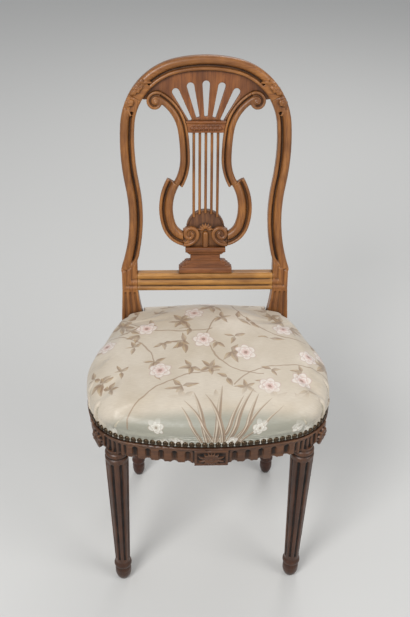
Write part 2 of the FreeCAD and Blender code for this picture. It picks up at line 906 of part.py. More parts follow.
def lower_back_rail():
    """Reeded rail that carries the lyre."""
    rail = reeds(back_rail_height, back_rail_depth, 2 * block_inner_x)
    rail.translate(Vector(-block_inner_x, 0, 0))
    tongue = back_rail_tenon()
    rail = fused([rail, tongue, mirrored(tongue)])
    return rail.cut(pedestal_tenon(tenon_clearance))


def curl_line():
    """Start, heading and path of the curled end of the post's moulding."""
    point, heading = arch_station("crest_roll", "crest_block", "post_block", "post_roll")
    back_turn = 7.0
    point, heading = travel(point, heading + 180, [(-(waist_radius + band_width / 2), back_turn)])
    heading -= 180
    start = point + heading_vector(heading - 90) * (band_width / 2)
    return start, heading - back_turn, [(curl_radius, curl_turn), (0, 6)]


def below_curl():
    """Everything of the right post's end that lies under the curl."""
    start, heading, path = curl_line()
    end = travel(start, heading, path)[0]
    edges = path_edges(start, heading, path)
    corners = [end, end + Vector(30, 0, 0), Vector(end.x + 30, -90, 0), Vector(start.x - 40, -90, 0),
               Vector(start.x - 40, start.y, 0), start]
    for first, second in zip(corners, corners[1:]):
        edges.append(Part.makeLine(first, second))
    return slab(Part.Face(Part.Wire(edges)), -20, band_depth + 40)


def post_moulding():
    """Moulded upper part of the right post, which curls out over the block at its end."""
    start, heading, path = curl_line()
    bead_back = roll_width * 0.6
    bead_foot = roll_width * 0.46 - curl_rise
    bead_front = roll_width * 0.2 - curl_rise
    bead_edge = -bead_width - curl_rise
    bead = face_of([
        (bead_edge, bead_back), (bead_edge, bead_foot), ((bead_edge / 2, bead_front), (0, bead_foot)),
        (0, bead_back)])
    rim = sweep(bead, start, heading, path)
    moulding = arch_roll(("crest_roll", "crest_block", "post_block"), "post_roll").cut(below_curl())
    trim = box(-300, block_outer_x + 1, -20, 60, 0, 120)
    return fused([shoulder_block(("crest_roll", "crest_block"), "post_block"), moulding, rim.common(trim)])


def mitre_score():
    """Fine scored line along the mitre of the right-hand block, as deep as its reeds."""
    foot = Vector(block_outer_x, 0, 0)
    run = Vector(block_inner_x, back_rail_height, 0) - foot
    heading = math.degrees(math.atan2(run.y, run.x))
    half = heading_vector(heading + 90) * (mitre_line / 2)
    start = foot - run * 0.1
    end = foot + run * 1.1
    corners = [start - half, end - half, end + half, start + half]
    return slab(face_of([(corner.x, corner.y) for corner in corners]), -5, reed_rise * 2 + 5.5)


def post_block():
    """Right-hand block where the rail's reeds turn up into the post at a mitre."""
    width = block_outer_x - block_inner_x
    across = reeds(back_rail_height, band_depth, width)
    across.translate(Vector(block_inner_x, 0, 0))
    up = reeds(width, band_depth, block_height)
    up.rotate(Vector(0, 0, 0), Vector(0, 1, 0), -90)
    up.translate(Vector(block_outer_x, 0, 0))
    corner = face_of([(block_inner_x, 0), (block_outer_x, 0), (block_inner_x, back_rail_height)])
    under = slab(corner, -5, band_depth + 10)
    score = mitre_score()
    block = fused([across.common(under).cut(score), up.cut(under).cut(score)])
    return block.common(below_curl())


def stile_outline(grow=0.0):
    """Front view of the stile, widening down to the rear die."""
    widest = -stile_length * 0.6
    middle = -stile_length * 0.28
    foot = -stile_length
    inner = rear_die_inner_x - grow
    outer = rear_die_outer_x + grow
    return face_of([
        (inner, foot), (outer, foot), (outer, widest), (block_outer_x + grow, 0),
        (block_inner_x - grow, 0), ((block_inner_x - 3.5 - grow, middle), (inner, widest))])


def stile():
    """Fluted length between the rail's block and the seat."""
    body = slab(stile_outline(), stile_front, band_depth - stile_front)
    tools = []
    for share in (0.2, 0.5, 0.8):
        top_x = block_inner_x + (block_outer_x - block_inner_x) * share
        foot_x = rear_die_inner_x + (rear_die_outer_x - rear_die_inner_x) * share
        top = Vector(top_x, stile_front - 0.6, -6)
        run = Vector(foot_x, stile_front - 0.6, -stile_length * 0.75) - top
        tools.append(Part.makeCylinder(stile_flute_radius, run.Length, top, run))
        tools.append(Part.makeSphere(stile_flute_radius, top))
    return body.cut(Part.makeCompound(tools))


def back_post():
    """Right post: moulding, block, fluted stile, die and turned rear leg in one piece."""
    upper = fused([post_moulding(), post_block(), stile(), crest_tenon()])
    upper = upper.cut(back_rail_tenon(tenon_clearance))
    die = box(rear_die_inner_x, rear_die_outer_x, rear_die_front_y, rear_die_rear_y,
              rear_die_bottom, rear_die_top)
    leg = turned_leg(rear_leg_x, rear_leg_y, rear_die_bottom, rear_leg_top_radius,
                     rear_leg_ankle_radius, rear_foot_radius, rear_flute_radius)
    post = fused([raked(upper), die, leg])
    post = post.cut(tenon("side_rear", tenon_clearance)).cut(tenon("rear", tenon_clearance))
    return post.cut(Part.makeCompound(seat_pegs(glue_gap))).cut(screw_holes())


# Lyre
def spiral_path(radii):
    """Right-hand spiral of quarter circles."""
    return [(-radius, 90) for radius in radii]


def scroll(point, heading, radii, ridge, front, depth):
    """Volute: a plate inside the spiral's first turn, with a rounded ridge along the spiral."""
    edges = path_edges(point, heading, spiral_path(radii[:4]))
    end = travel(point, heading, spiral_path(radii[:4]))[0]
    seat = point + heading_vector(heading - 90) * ridge
    edges += [Part.makeLine(end, seat), Part.makeLine(seat, point)]
    plate = slab(Part.Face(Part.Wire(edges)), front + 4, depth - 4)
    section = face_of([
        (0, front + 6), (0, front + 2), ((ridge / 2, front), (ridge, front + 2)), (ridge, front + 6)])
    return fused([plate, sweep(section, point, heading, spiral_path(radii))])


def neck_middle():
    return Vector(neck_x + arm_width / 2, neck_z, 0)


def arm_flare_radius():
    """Radius with which the arm's middle line runs square on to the bowl's upper end."""
    run = Vector(bowl_top_x, bowl_top_z, 0) - neck_middle()
    way = heading_vector(bowl_heading)
    return run.dot(way) / way.x


def arm_rise():
    """Path of the arm's middle line upwards from its neck."""
    half = arm_width / 2
    return [(-(arm_rise_radius - half), arm_rise_turn), (-(arm_curl_radius - half), arm_curl_turn)]


def fan_lap():
    """Rebate in the arm's back, in which the fan's rear layer runs through to the posts."""
    return slab(fan_outline(glue_gap), fan_front + fan_depth - fan_lap_depth, 40)


def lyre_arm():
    """Right arm of the lyre, from the bowl up and over to its scroll."""
    roll = arm_width - arm_bead - 2.5
    section_up = band_section(arm_width, lyre_depth, roll, arm_bead, lyre_front, False)
    section_down = band_section(arm_width, lyre_depth, roll, arm_bead, lyre_front, True)
    up = sweep(section_up, neck_middle(), 90, arm_rise())
    down = sweep(section_down, neck_middle(), -90, [(arm_flare_radius(), 90 + bowl_heading)])
    point, heading = travel(neck_middle(), 90, arm_rise())
    tip = point + heading_vector(heading + 90) * (arm_width / 2)
    curl = scroll(tip, heading, scroll_radii, scroll_ridge, lyre_front, lyre_depth)
    return fused([up, down, curl]).cut(arm_dowel(glue_gap)).cut(fan_lap())


def arm_space():
    """Space that the yoke leaves for the right arm."""
    half = arm_width / 2 + glue_gap
    blank = face_of([(-half, -20), (half, -20), (half, 60), (-half, 60)])
    return sweep(blank, neck_middle(), 90, arm_rise())


def bowl_top():
    """Middle of the bowl's upper end, and its heading."""
    corner = Vector(bowl_top_x, bowl_top_z, 0)
    return corner + heading_vector(bowl_heading - 90) * (bowl_width / 2), bowl_heading


def bowl_path():
    half = bowl_width / 2
    return [(-(bowl_side_radius - half), bowl_side_turn), (-(bowl_floor_radius - half), bowl_floor_turn)]


def bowl_end():
    """Outer edge of the bowl where it meets the volute block, and its heading there."""
    middle, heading = bowl_top()
    middle, heading = travel(middle, heading, bowl_path())
    return middle + heading_vector(heading + 90) * (bowl_width / 2), heading


def arm_dowel(gap=0.0):
    """Dowel across the joint of arm and bowl."""
    point = travel(neck_middle(), -90, [(arm_flare_radius(), 90 + bowl_heading)])[0]
    way = heading_vector(bowl_heading)
    middle = point + heading_vector(bowl_heading + 90) * (arm_width * 0.16)
    start = middle - way * (dowel_length / 2 + gap)
    return Part.makeCylinder(dowel_radius + gap, dowel_length + 2 * gap,
                             Vector(start.x, lyre_front + lyre_depth * 0.6, start.y), Vector(way.x, 0, way.y))


def bowl_dowel(gap=0.0):
    """Dowel across the joint of bowl and volute block."""
    height = cap_top + bowl_width * 0.55
    return Part.makeCylinder(dowel_radius + gap, dowel_length + 2 * gap,
                             Vector(seam_x - dowel_length / 2 - gap, lyre_front + lyre_depth * 0.65, height),
                             Vector(1, 0, 0))


def foot_dowel(gap=0.0):
    """Dowel between pedestal and volute block."""
    return Part.makeCylinder(dowel_radius + gap, dowel_length * 0.8 + 2 * gap,
                             Vector(neck_half_width * 0.6, lyre_front + lyre_depth * 0.65,
                                    cap_top - dowel_length * 0.5 - gap))


def lyre_dowels():
    dowels = [arm_dowel(), bowl_dowel(), foot_dowel()]
    return Part.makeCompound(dowels + [mirrored(dowel) for dowel in dowels])


def lyre_bowl():
    """Right half of the lyre's bowl, its bead at the outer edge."""
    middle, heading = bowl_top()
    section = band_section(bowl_width, lyre_depth, bowl_width - bowl_bead - 5, bowl_bead, lyre_front, False)
    bowl = sweep(section, middle, heading, bowl_path())
    bowl = bowl.cut(box(-60, seam_x, -5, 60, 0, 180))
    return bowl.cut(arm_dowel(glue_gap)).cut(bowl_dowel(glue_gap))


def lyre_volute_block():
    """Middle block of the bowl: two volutes with a husk between them."""
    end, heading = bowl_end()
    start = Vector(seam_x, end.y, 0)
    right = scroll(start, heading, volute_radii, volute_ridge, lyre_front, lyre_depth)
    bed = box(-seam_x, seam_x, lyre_front + 8, lyre_front + lyre_depth, cap_top, volute_bed_top)
    husk_y = lyre_front + husk_radius
    husk = Part.makeCylinder(husk_radius, husk_top - husk_radius - cap_top, Vector(0, husk_y, cap_top))
    husk_tip = Part.makeSphere(husk_radius, Vector(0, husk_y, husk_top - husk_radius))
    block = fused([bed, right, mirrored(right), husk, husk_tip])
    block = block.common(box(-seam_x, seam_x, -10, 60, cap_top, 200))
    block = cut_both(cut_both(block, bowl_dowel(glue_gap)), foot_dowel(glue_gap))
    return block.cut(board_body(hole_gap))


def board_face():
    return lyre_front + lyre_depth - soundboard_depth


def board_body(gap=0.0):
    """Round soundboard, let into the back of the volute block."""
    body = disc(0, soundboard_z, soundboard_radius + gap, board_face() - gap, soundboard_depth + 2 * gap)
    keep = box(-60, 60, -10, 60, volute_bed_top - 16 - gap, soundboard_z + soundboard_radius + 5)
    return body.common(keep)


def volute_space():
    """Space of the volutes and the husk in front of the soundboard."""
    end, heading = bowl_end()
    start = Vector(seam_x + 0.15, end.y, 0)
    path = spiral_path([radius + 0.15 for radius in volute_radii[:4]])
    edges = path_edges(start, heading, path)
    edges.append(Part.makeLine(travel(start, heading, path)[0], start))
    right = slab(Part.Face(Part.Wire(edges)), lyre_front - 5, board_face() - lyre_front + 4.9)
    husk = Part.makeSphere(husk_radius + 0.1, Vector(0, lyre_front + husk_radius, husk_top - husk_radius))
    return Part.makeCompound([right, mirrored(right), husk])


def lyre_soundboard():
    """Round soundboard with a raised rim and a shell over the husk."""
    front = board_face()
    bed = volute_bed_top + 0.1
    rim = disc(0, soundboard_z, soundboard_radius, front - 2, 4)
    rim = rim.cut(disc(0, soundboard_z, soundboard_radius - soundboard_rim, front - 5, 10))
    rim = rim.common(box(-60, 60, -20, 60, bed + 10, 300))
    shell = disc(0, shell_z, shell_radius, front - 4, 6).common(box(-60, 60, -20, 60, bed, 300))
    pieces = [board_body(), rim, shell]
    for index in range(shell_lobes):
        way = heading_vector(20 + 140 * index / (shell_lobes - 1)) * (shell_radius - 1.5)
        if shell_z + way.y > bed + 2.6:
            pieces.append(dome(Vector(way.x, front - 4, shell_z + way.y), Vector(0, -1, 0), 2.6, 2.4))
    return fused(pieces).cut(volute_space()).cut(string_holes())


def tier(half_width, inset, low, high, edge):
    """One step of the pedestal, its front corners softened."""
    front = lyre_front + inset
    back = lyre_front + lyre_depth
    face = face_of([
        (-half_width, back), (-half_width, front + edge), (-half_width + edge, front),
        (half_width - edge, front), (half_width, front + edge), (half_width, back)])
    face.translate(Vector(0, 0, low))
    return face.extrude(Vector(0, 0, high - low))


def lyre_pedestal():
    """Stepped pedestal: plinth, three steps, neck and rounded cap."""
    rise = (neck_bottom - plinth_top) / 3
    pieces = [tier(plinth_half_width, -1, back_rail_height, plinth_top, 2.0)]
    for index in range(3):
        low = plinth_top + rise * index
        half = plinth_half_width - 3 - index * 4.5
        pieces.append(tier(half, 1 + 1.5 * index, low, low + rise * 0.7, 2.0))
        pieces.append(tier(half - 3, 2.5 + 1.5 * index, low + rise * 0.7, low + rise, 2.0))
    pieces.append(tier(neck_half_width, 6, neck_bottom, cap_bottom, 2.0))
    pieces.append(tier(cap_half_width - 7, 4, cap_bottom - 5, cap_bottom - 2.5, 1.0))
    pieces.append(tier(cap_half_width - 4, 2.5, cap_bottom - 2.5, cap_bottom, 1.0))
    pieces.append(tier(cap_half_width, 0, cap_bottom, cap_top, 3.0))
    return cut_both(fused(pieces + [pedestal_tenon()]), foot_dowel(glue_gap))


def lyre_yoke():
    """Cross piece that holds the strings: a lip over a row of beads."""
    front = lyre_front + 3
    reach = neck_x + arm_width * 0.75
    lip_radius = 2.4
    beads_z = (yoke_bottom + yoke_top - 2 * lip_radius) / 2
    pieces = [
        box(-reach, reach, front, lyre_front + yoke_depth, yoke_bottom, yoke_top),
        Part.makeCylinder(lip_radius, 2 * reach, Vector(-reach, front, yoke_top - lip_radius),
                          Vector(1, 0, 0))]
    count = int(2 * neck_x / yoke_bead_pitch)
    for index in range(count):
        x = (index - (count - 1) / 2) * yoke_bead_pitch
        pieces.append(dome(Vector(x, front, beads_z), Vector(0, -1, 0), 4.0, 2.4))
    return cut_both(fused(pieces), arm_space()).cut(string_holes())


def string_line(index, gap=0.0):
    """String from its seat in the soundboard up into the yoke."""
    x = (index - (string_count - 1) / 2) * string_pitch
    foot = soundboard_z + math.sqrt(soundboard_radius ** 2 - x ** 2) - string_socket - gap
    top = yoke_bottom + string_socket + gap
    return Part.makeCylinder(string_radius + gap, top - foot, Vector(x, board_face(), foot))


def string_holes():
    return Part.makeCompound([string_line(index, hole_gap) for index in range(string_count)])


# Fan
def fan_outline(gap=0.0):
    """Face of the unpierced fan, whose upper edge is a tongue in the groove of the arch."""
    inner = band_width - fan_tongue - gap
    path = [(-(arch_radius - inner), arch_turn), (-(shoulder_radius - inner), fan_tip_turn)]
    top = Vector(0, back_height - inner, 0)
    tip, heading = travel(top, 0, path)
    curl = travel(neck_middle(), 90, arm_rise())[0]
    corners = [
        tip, tip + heading_vector(heading - 90) * (fan_tongue + 1.5), curl + Vector(20, -6, 0),
        curl + Vector(0, -6, 0), Vector(neck_x + arm_width * 1.05, yoke_top + 12, 0),
        Vector(neck_x + arm_width * 0.7, yoke_top, 0), Vector(0, yoke_top, 0)]
    edges = path_edges(top, 0, path)
    for first, second in zip(corners, corners[1:]):
        edges.append(Part.makeLine(first, second))
    wire = Part.Wire(edges + [mirrored(edge) for edge in reversed(edges)])
    return Part.Face(wire)


def fan_blank(gap=0.0):
    return slab(fan_outline(gap), fan_front - gap, fan_depth + 2 * gap)


def fan_opening(index):
    """One flared, round-topped opening between the ribs."""
    lean = (index - (fan_opening_count - 1) / 2) * fan_opening_spread
    foot_half = fan_opening_foot / 2
    head_half = fan_opening_head / 2
    shoulder = fan_opening_end - head_half
    face = face_of([
        (-foot_half, fan_opening_start), (foot_half, fan_opening_start), (head_half, shoulder),
        ((0, fan_opening_end), (-head_half, shoulder))])
    opening = slab(face, -20, 80)
    opening.rotate(Vector(0, 0, 0), Vector(0, 1, 0), lean)
    opening.translate(Vector(0, 0, yoke_top - fan_focus_drop))
    return opening


def lyre_fan():
    """Pierced fan between the arms: ribs that spread from the yoke to the arch."""
    openings = Part.makeCompound([fan_opening(index) for index in range(fan_opening_count)])
    return cut_both(fan_blank().cut(openings), lyre_arm())


# Upholstery
def post_space(gap):
    """Space that the right rear post takes out of the upholstery."""
    low = box(rear_die_inner_x - gap, rear_die_outer_x + 60, rear_die_front_y - gap, rear_die_rear_y + 60,
              cover_hem - 5, rear_die_top + gap)
    leaning = raked(slab(stile_outline(gap), stile_front - gap, 100))
    beside = box(rear_die_outer_x - 12, rear_die_outer_x + 60, rear_die_front_y + 8, rear_die_rear_y + 60,
                 cover_hem - 5, crown_height + 20)
    return fused([low, leaning, beside])


def webs(lengthwise):
    """Straps of webbing over the seat frame."""
    front = seat_front_y + rail_thickness
    rear = seat_front_y + seat_depth - rail_thickness
    pitch = web_width + web_gap
    level = rail_top + (web_thickness if lengthwise else 0)
    span = 2 * rear_die_inner_x - 8 if lengthwise else rear - front
    middle = 0 if lengthwise else (front + rear) / 2 - 6
    count = int((span + web_gap) / pitch)
    field = cut_both(seat_prism(-rail_thickness / 3, rail_top, rail_top + 2 * web_thickness), post_space(1.0))
    straps = []
    for index in range(count):
        centre = middle + (index - (count - 1) / 2) * pitch
        low, high = centre - web_width / 2, centre + web_width / 2
        if lengthwise:
            strap = box(low, high, -400, 400, level, level + web_thickness)
        else:
            strap = box(-400, 400, low, high, level, level + web_thickness)
        straps.append(strap.common(field))
    return Part.makeCompound(straps)


def hessian():
    """Coarse cloth over the webbing."""
    low = rail_top + 2 * web_thickness
    return cut_both(seat_prism(-rail_thickness / 3, low, low + hessian_thickness), post_space(cushion_clearance))


def cushion(inset, bottom):
    """Crowned seat with drawn-in sides, moved in by inset, from bottom up."""
    hem = cover_thickness - cover_rebate
    bulge = cushion_bulge
    top = crown_height - inset
    sides = [
        (hem, bottom), (bulge * 0.45, rail_top + 4.5), (bulge * 0.75, rail_top + 9),
        (bulge * 0.95, rail_top + 14.5), (bulge, rail_top + 20), (bulge * 0.82, rail_top + 26.5),
        (bulge * 0.3, rail_top + 33), (-5, top - 20), (-12, top - 16), (-22, top - 12.8), (-34, top - 10.5)]
    crown = [(0.74, 7.6), (0.62, 5.2), (0.45, 2.6), (0.28, 1.0), (0.12, 0.2)]
    wires = [seat_wire(offset - inset, z) for offset, z in sides if z == bottom or z > bottom + 1]
    wires += [seat_wire(0, top - drop, scale) for scale, drop in crown]
    return Part.makeLoft(wires, True, True)


def seat_stuffing():
    """Hair stuffing under the cover, crowned and rolled at its edge."""
    bottom = rail_top + 2 * web_thickness + hessian_thickness
    pad = cushion(cover_thickness + cushion_clearance, bottom)
    return cut_both(pad, post_space(cover_thickness + 2 * cushion_clearance))


def seat_cover():
    """Cloth cover, drawn down over the stuffing and nailed to the rails' rebate."""
    hem = cover_thickness - cover_rebate
    skirt = seat_prism(hem, cover_hem, rail_top).cut(seat_prism(-cover_rebate, cover_hem - 1, rail_top + 1))
    shell = cushion(0, rail_top).cut(cushion(cover_thickness, rail_top))
    return cut_both(fused([skirt.cut(nail_holes()), shell]), post_space(cushion_clearance))


def export(name, shape):
    shape.exportStep(os.path.join("parts", name + ".step"))


def export_pair(name, shape):
    export(name + "_right", shape)
    export(name + "_left", mirrored(shape))


def main():
    os.makedirs("parts", exist_ok=True)
    export("crest_rail", raked(crest_rail()))
    export_pair("back_post", back_post())
    export("lower_back_rail", raked(lower_back_rail()))
    export("lyre_fan", raked(lyre_fan()))
    export_pair("lyre_arm", raked(lyre_arm()))
    export_pair("lyre_bowl", raked(lyre_bowl()))
    export("lyre_yoke", raked(lyre_yoke()))
    export("lyre_soundboard", raked(lyre_soundboard()))
    export("lyre_volute_block", raked(lyre_volute_block()))
    export("lyre_pedestal", raked(lyre_pedestal()))
    export("lyre_dowels", raked(lyre_dowels()))
    for index in range(string_count):
        export("lyre_string_" + str(index + 1), raked(string_line(index)))
    export_pair("front_leg", front_leg())
    export("front_seat_rail", front_seat_rail())
    export_pair("side_seat_rail", side_seat_rail())
    export("rear_seat_rail", rear_seat_rail())
    export_pair("corner_block_front", corner_block(True))
    export_pair("corner_block_rear", corner_block(False))
    export("corner_block_screws", corner_block_screws())
    export("joint_pegs", joint_pegs())
    export("webbing_crosswise", webs(False))
    export("webbing_lengthwise", webs(True))
    export("hessian", hessian())
    export("seat_stuffing", seat_stuffing())
    export("seat_cover", seat_cover())
    export("upholstery_nails", upholstery_nails())


main()
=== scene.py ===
import math

import bmesh
import bpy
import numpy as np
from mathutils import Matrix, Vector
from mathutils.bvhtree import BVHTree


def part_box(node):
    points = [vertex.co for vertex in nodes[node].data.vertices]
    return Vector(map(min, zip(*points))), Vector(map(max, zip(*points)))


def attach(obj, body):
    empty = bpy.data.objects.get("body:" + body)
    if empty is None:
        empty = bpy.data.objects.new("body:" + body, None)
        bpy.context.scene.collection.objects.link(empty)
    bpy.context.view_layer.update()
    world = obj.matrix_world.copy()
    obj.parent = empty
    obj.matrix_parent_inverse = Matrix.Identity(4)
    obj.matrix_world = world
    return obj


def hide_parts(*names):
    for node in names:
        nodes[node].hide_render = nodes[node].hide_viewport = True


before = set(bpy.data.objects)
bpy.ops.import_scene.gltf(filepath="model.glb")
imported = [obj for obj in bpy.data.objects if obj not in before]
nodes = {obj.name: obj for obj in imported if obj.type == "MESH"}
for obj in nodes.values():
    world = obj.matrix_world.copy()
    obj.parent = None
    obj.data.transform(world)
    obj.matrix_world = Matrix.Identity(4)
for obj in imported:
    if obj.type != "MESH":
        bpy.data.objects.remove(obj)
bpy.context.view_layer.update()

# Camera, as in the photograph
IMAGE_HEIGHT = 617
CAMERA_PLACE = Vector((-0.0675, -1.364, 1.480))
CAMERA_YAW = math.radians(-2.62)
CAMERA_PITCH = math.radians(34.61)
CAMERA_ROLL = math.radians(1.0)
CAMERA_FOCAL_PIXELS = 870.63

# Back plane of the chair: local x across, y from front to back, z up the rake
BACK_FOOT = Vector((0.0, 0.116, 0.502))
BACK_RAKE = math.radians(12.5)
BACK = Matrix.Translation(BACK_FOOT) @ Matrix.Rotation(-BACK_RAKE, 4, "X")
BACK_TURN = BACK.to_3x3()
BACK_OUT = BACK_TURN @ Vector((0, -1, 0))
BACK_ACROSS = BACK_TURN @ Vector((1, 0, 0))
BACK_HEIGHT = 0.4626
ARCH_RADIUS = 0.275
ARCH_TURN = math.radians(12.0)
SHOULDER_RADIUS = 0.1345
BAND_WIDTH = 0.027
SCROLL_X = 0.0955
SCROLL_Z = 0.378
YOKE_PITCH = 0.009
SHELL_Z = 0.125
# Level, half width, height and rise of each moulding of the pedestal
PEDESTAL = (
    (0.0862, 0.0400, 0.0100, 0.0032),
    (0.0785, 0.0340, 0.0030, 0.0018),
    (0.0600, 0.0335, 0.0032, 0.0016),
    (0.0560, 0.0395, 0.0034, 0.0022),
    (0.0512, 0.0470, 0.0040, 0.0028),
    (0.0425, 0.0532, 0.0105, 0.0020))
YOKE_FACE = 0.006
YOKE_BEADS = 0.3284

# Seat outline, where the carved front corners are
SEAT_FRONT_Y = -0.237
BOW_RADIUS = 0.579
BOW_TURN = math.radians(14.8)
CORNER_RADIUS = 0.098
ROSETTE_TURN = math.radians(53.0)
ROSETTE_HEIGHT = 0.384
ROSETTE_SUNK = 0.0014
TABLET_HEIGHT = 0.378
TABLET_FIELD = (0.025, 0.0122)

# Carved forms: how deep their feet sink, and their sizes
SINK = -0.0025
SPRIG_FLOWER = dict(petals=5, radius=0.0086, width=0.0078, height=0.0052, heart=0.0026)
SPRIG_LEAF = dict(width=0.0078, height=0.0048)
ROSETTE = dict(petals=8, radius=0.0140, width=0.0086, height=0.0056, heart=0.0044)
HANGING_LEAF = dict(width=0.0088, height=0.0050)
TABLET_PETAL = dict(width=0.0054, height=0.0036)
DART = dict(length=0.012, width=0.0028, height=0.0022, vein=0.1)
SHELL_RIB = dict(length=0.0125, width=0.0050, height=0.0042, vein=0.1)
LIP = dict(height=0.0034, rise=0.0026)
# Radius and height of each round button
TABLET_HEART = (0.0046, 0.0048)
YOKE_BEAD = (0.0038, 0.0036)
SCROLL_BOSS = (0.0070, 0.0048)
SCROLL_EYE = (0.0022, 0.0062)
# Degrees from the top of the arch: where each half of a shoulder block has its sprig
CREST_SPRIG = (45.8, 59.8)
POST_SPRIG = (60.6, 71.0)
# Degrees from the top, tilt and length of the lips at a block's ends
CREST_LIP = (44.2, 42, 0.025)
POST_LIP = (72.6, -40, 0.022)
# Degrees from the sprig's end, tilt, length and sideways place of its leaves
SPRIG_LEAVES = ((0.6, 12, 0.013, 0.0025), (1.6, -22, 0.011, -0.0025))

# Cover of the seat: its grid, the drop of its side, the height up to which it is pinned, how far it swells
COVER_CENTRE = Vector((0.0, -0.05, 0.0))
COVER_CELLS = 104
COVER_SIDE = 0.0465
COVER_SIDE_ROWS = 14
COVER_PINNED = 0.414
COVER_SWELL = 0.014
COVER_SHRINK = 0.0015
COVER_CAP = 0.005
SILK_CLOTH = dict(quality=5, mass=0.15, tension_stiffness=15, compression_stiffness=15,
                  shear_stiffness=5, bending_stiffness=0.5, uniform_pressure_force=4.0)
PAD_DEPTH = 0.0045
COVER_THICKNESS = 0.0016
REED_ROOT = 0.012
# Angle from the front, lean up the side, width and depth of each pleat at a front corner
PLEATS = ((58, 1, 1.3, 0.0056), (60.5, 13, 1.3, 0.0050), (50, -5, 1.2, 0.0020), (66, 7, 1.3, 0.0020))
PLEAT_CLIMB = 0.05
# Inner side and front of the notches for the posts, which hold the cover, and their middle
NOTCH_X = 0.112
NOTCH_Y = 0.066
NOTCH_CENTRE = (0.15, 0.1)

# Nails: reach and level of each ring of a head, and its crown
NAIL_RINGS = ((0.0056, -0.0008), (0.0056, 0.0002), (0.0053, 0.0010), (0.0046, 0.0020), (0.0035, 0.0029),
              (0.0020, 0.0035))
NAIL_CROWN = 0.0037
NAIL_SPOKES = 20

# Floor and lamps: name, place, width and power
FLOOR_REACH = 30.0
LAMPS = (
    ("key", (-1.5, -2.3, 2.9), 1.4, 85.0),
    ("fill", (2.2, -1.6, 2.2), 1.8, 34.0),
    ("rear", (0.6, 2.4, 2.6), 1.6, 26.0))
SENSOR_HEIGHT = 36.0


# Meshes
def linked(name, data):
    """New object in the scene."""
    made = bpy.data.objects.new(name, data)
    bpy.context.scene.collection.objects.link(made)
    return made


def mesh_object(name, vertices, faces):
    """New object with a mesh of these points and faces."""
    mesh = bpy.data.meshes.new(name)
    mesh.from_pydata([tuple(v) for v in vertices], [], faces)
    mesh.update()
    return linked(name, mesh)


def configure(target, **settings):
    """Set properties by name."""
    for key, value in settings.items():
        setattr(target, key, value)


def modify(piece, kind, **settings):
    """Add a modifier with its settings."""
    made = piece.modifiers.new(kind.lower(), kind)
    configure(made, **settings)
    return made


def applied(piece):
    """Bake the modifiers of a piece into its mesh."""
    graph = bpy.context.evaluated_depsgraph_get()
    mesh = bpy.data.meshes.new_from_object(
        piece.evaluated_get(graph), preserve_all_data_layers=True, depsgraph=graph)
    old = piece.data
    piece.modifiers.clear()
    piece.data = mesh
    bpy.data.meshes.remove(old)


def dress(piece, material):
    """Smooth shading, material and ride of a finished piece."""
    piece.data.polygons.foreach_set("use_smooth", [True] * len(piece.data.polygons))
    piece.data.materials.clear()
    piece.data.materials.append(material)
    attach(piece, "root")


def coordinates(mesh):
    """Places of all vertices as rows."""
    flat = np.empty(len(mesh.vertices) * 3)
    mesh.vertices.foreach_get("co", flat)
    return flat.reshape(-1, 3)


def set_coordinates(mesh, points):
    mesh.vertices.foreach_set("co", points.reshape(-1))
    mesh.update()


def normals(mesh):
    """Outward directions of all vertices as rows."""
    flat = np.empty(len(mesh.vertices) * 3)
    mesh.vertices.foreach_get("normal", flat)
    return flat.reshape(-1, 3)


def frame_on(place, along, out):
    """Matrix that puts local X along a direction and local Z outwards at a place."""
    out = out.normalized()
    along = (along - out * along.dot(out)).normalized()
    across = out.cross(along)
    turn = Matrix((along, across, out)).transposed().to_4x4()
    return Matrix.Translation(place) @ turn


# Carved forms, each a closed mesh that sinks into the wood it is carved from
def leaf_form(length, width, height, vein=0.4, steps=12, sides=8):
    """Pointed leaf along +X with a rounded top, a vein down its middle and a flat foot."""
    vertices = []
    faces = []
    ring = sides + 3
    for step in range(steps + 1):
        t = step / steps
        half = width / 2 * max(math.sin(math.pi * t ** 0.8), 0.02) ** 0.8
        rise = height * (0.35 + 0.65 * math.sin(math.pi * min(t * 0.75 + 0.12, 1.0)))
        for side in range(sides + 1):
            u = side / sides * 2 - 1
            bulge = math.sqrt(max(1 - u * u, 0.0))
            groove = vein * math.exp(-(u / 0.22) ** 2)
            vertices.append((t * length, u * half, rise * (bulge - groove * bulge)))
        vertices.append((t * length, half, SINK))
        vertices.append((t * length, -half, SINK))
    for step in range(steps):
        low = step * ring
        high = low + ring
        for corner in range(ring):
            following = (corner + 1) % ring
            faces.append((low + corner, high + corner, high + following, low + following))
    faces.append(tuple(range(ring)))
    faces.append(tuple(range(steps * ring + ring - 1, steps * ring - 1, -1)))
    return vertices, faces


def button_form(radius, height, around=18, rows=6):
    """Round button with a domed top and a flat foot."""
    vertices = [(0, 0, SINK), (0, 0, height)]
    faces = []
    for row in range(rows + 1):
        share = row / rows
        if row == 0:
            reach, level = radius, SINK
        else:
            turn = (share - 1 / rows) * math.pi / 2
            reach, level = radius * math.cos(turn), height * math.sin(turn)
        for spoke in range(around):
            angle = 2 * math.pi * spoke / around
            vertices.append((reach * math.cos(angle), reach * math.sin(angle), level))
    for row in range(rows):
        for spoke in range(around):
            following = (spoke + 1) % around
            low = 2 + row * around
            high = low + around
            faces.append((low + spoke, low + following, high + following, high + spoke))
    last = 2 + rows * around
    for spoke in range(around):
        following = (spoke + 1) % around
        faces.append((0, 2 + following, 2 + spoke))
        faces.append((1, last + spoke, last + following))
    return vertices, faces


def placed(form, matrix):
    """A form moved to its place."""
    vertices, faces = form
    return [matrix @ Vector(v) for v in vertices], faces


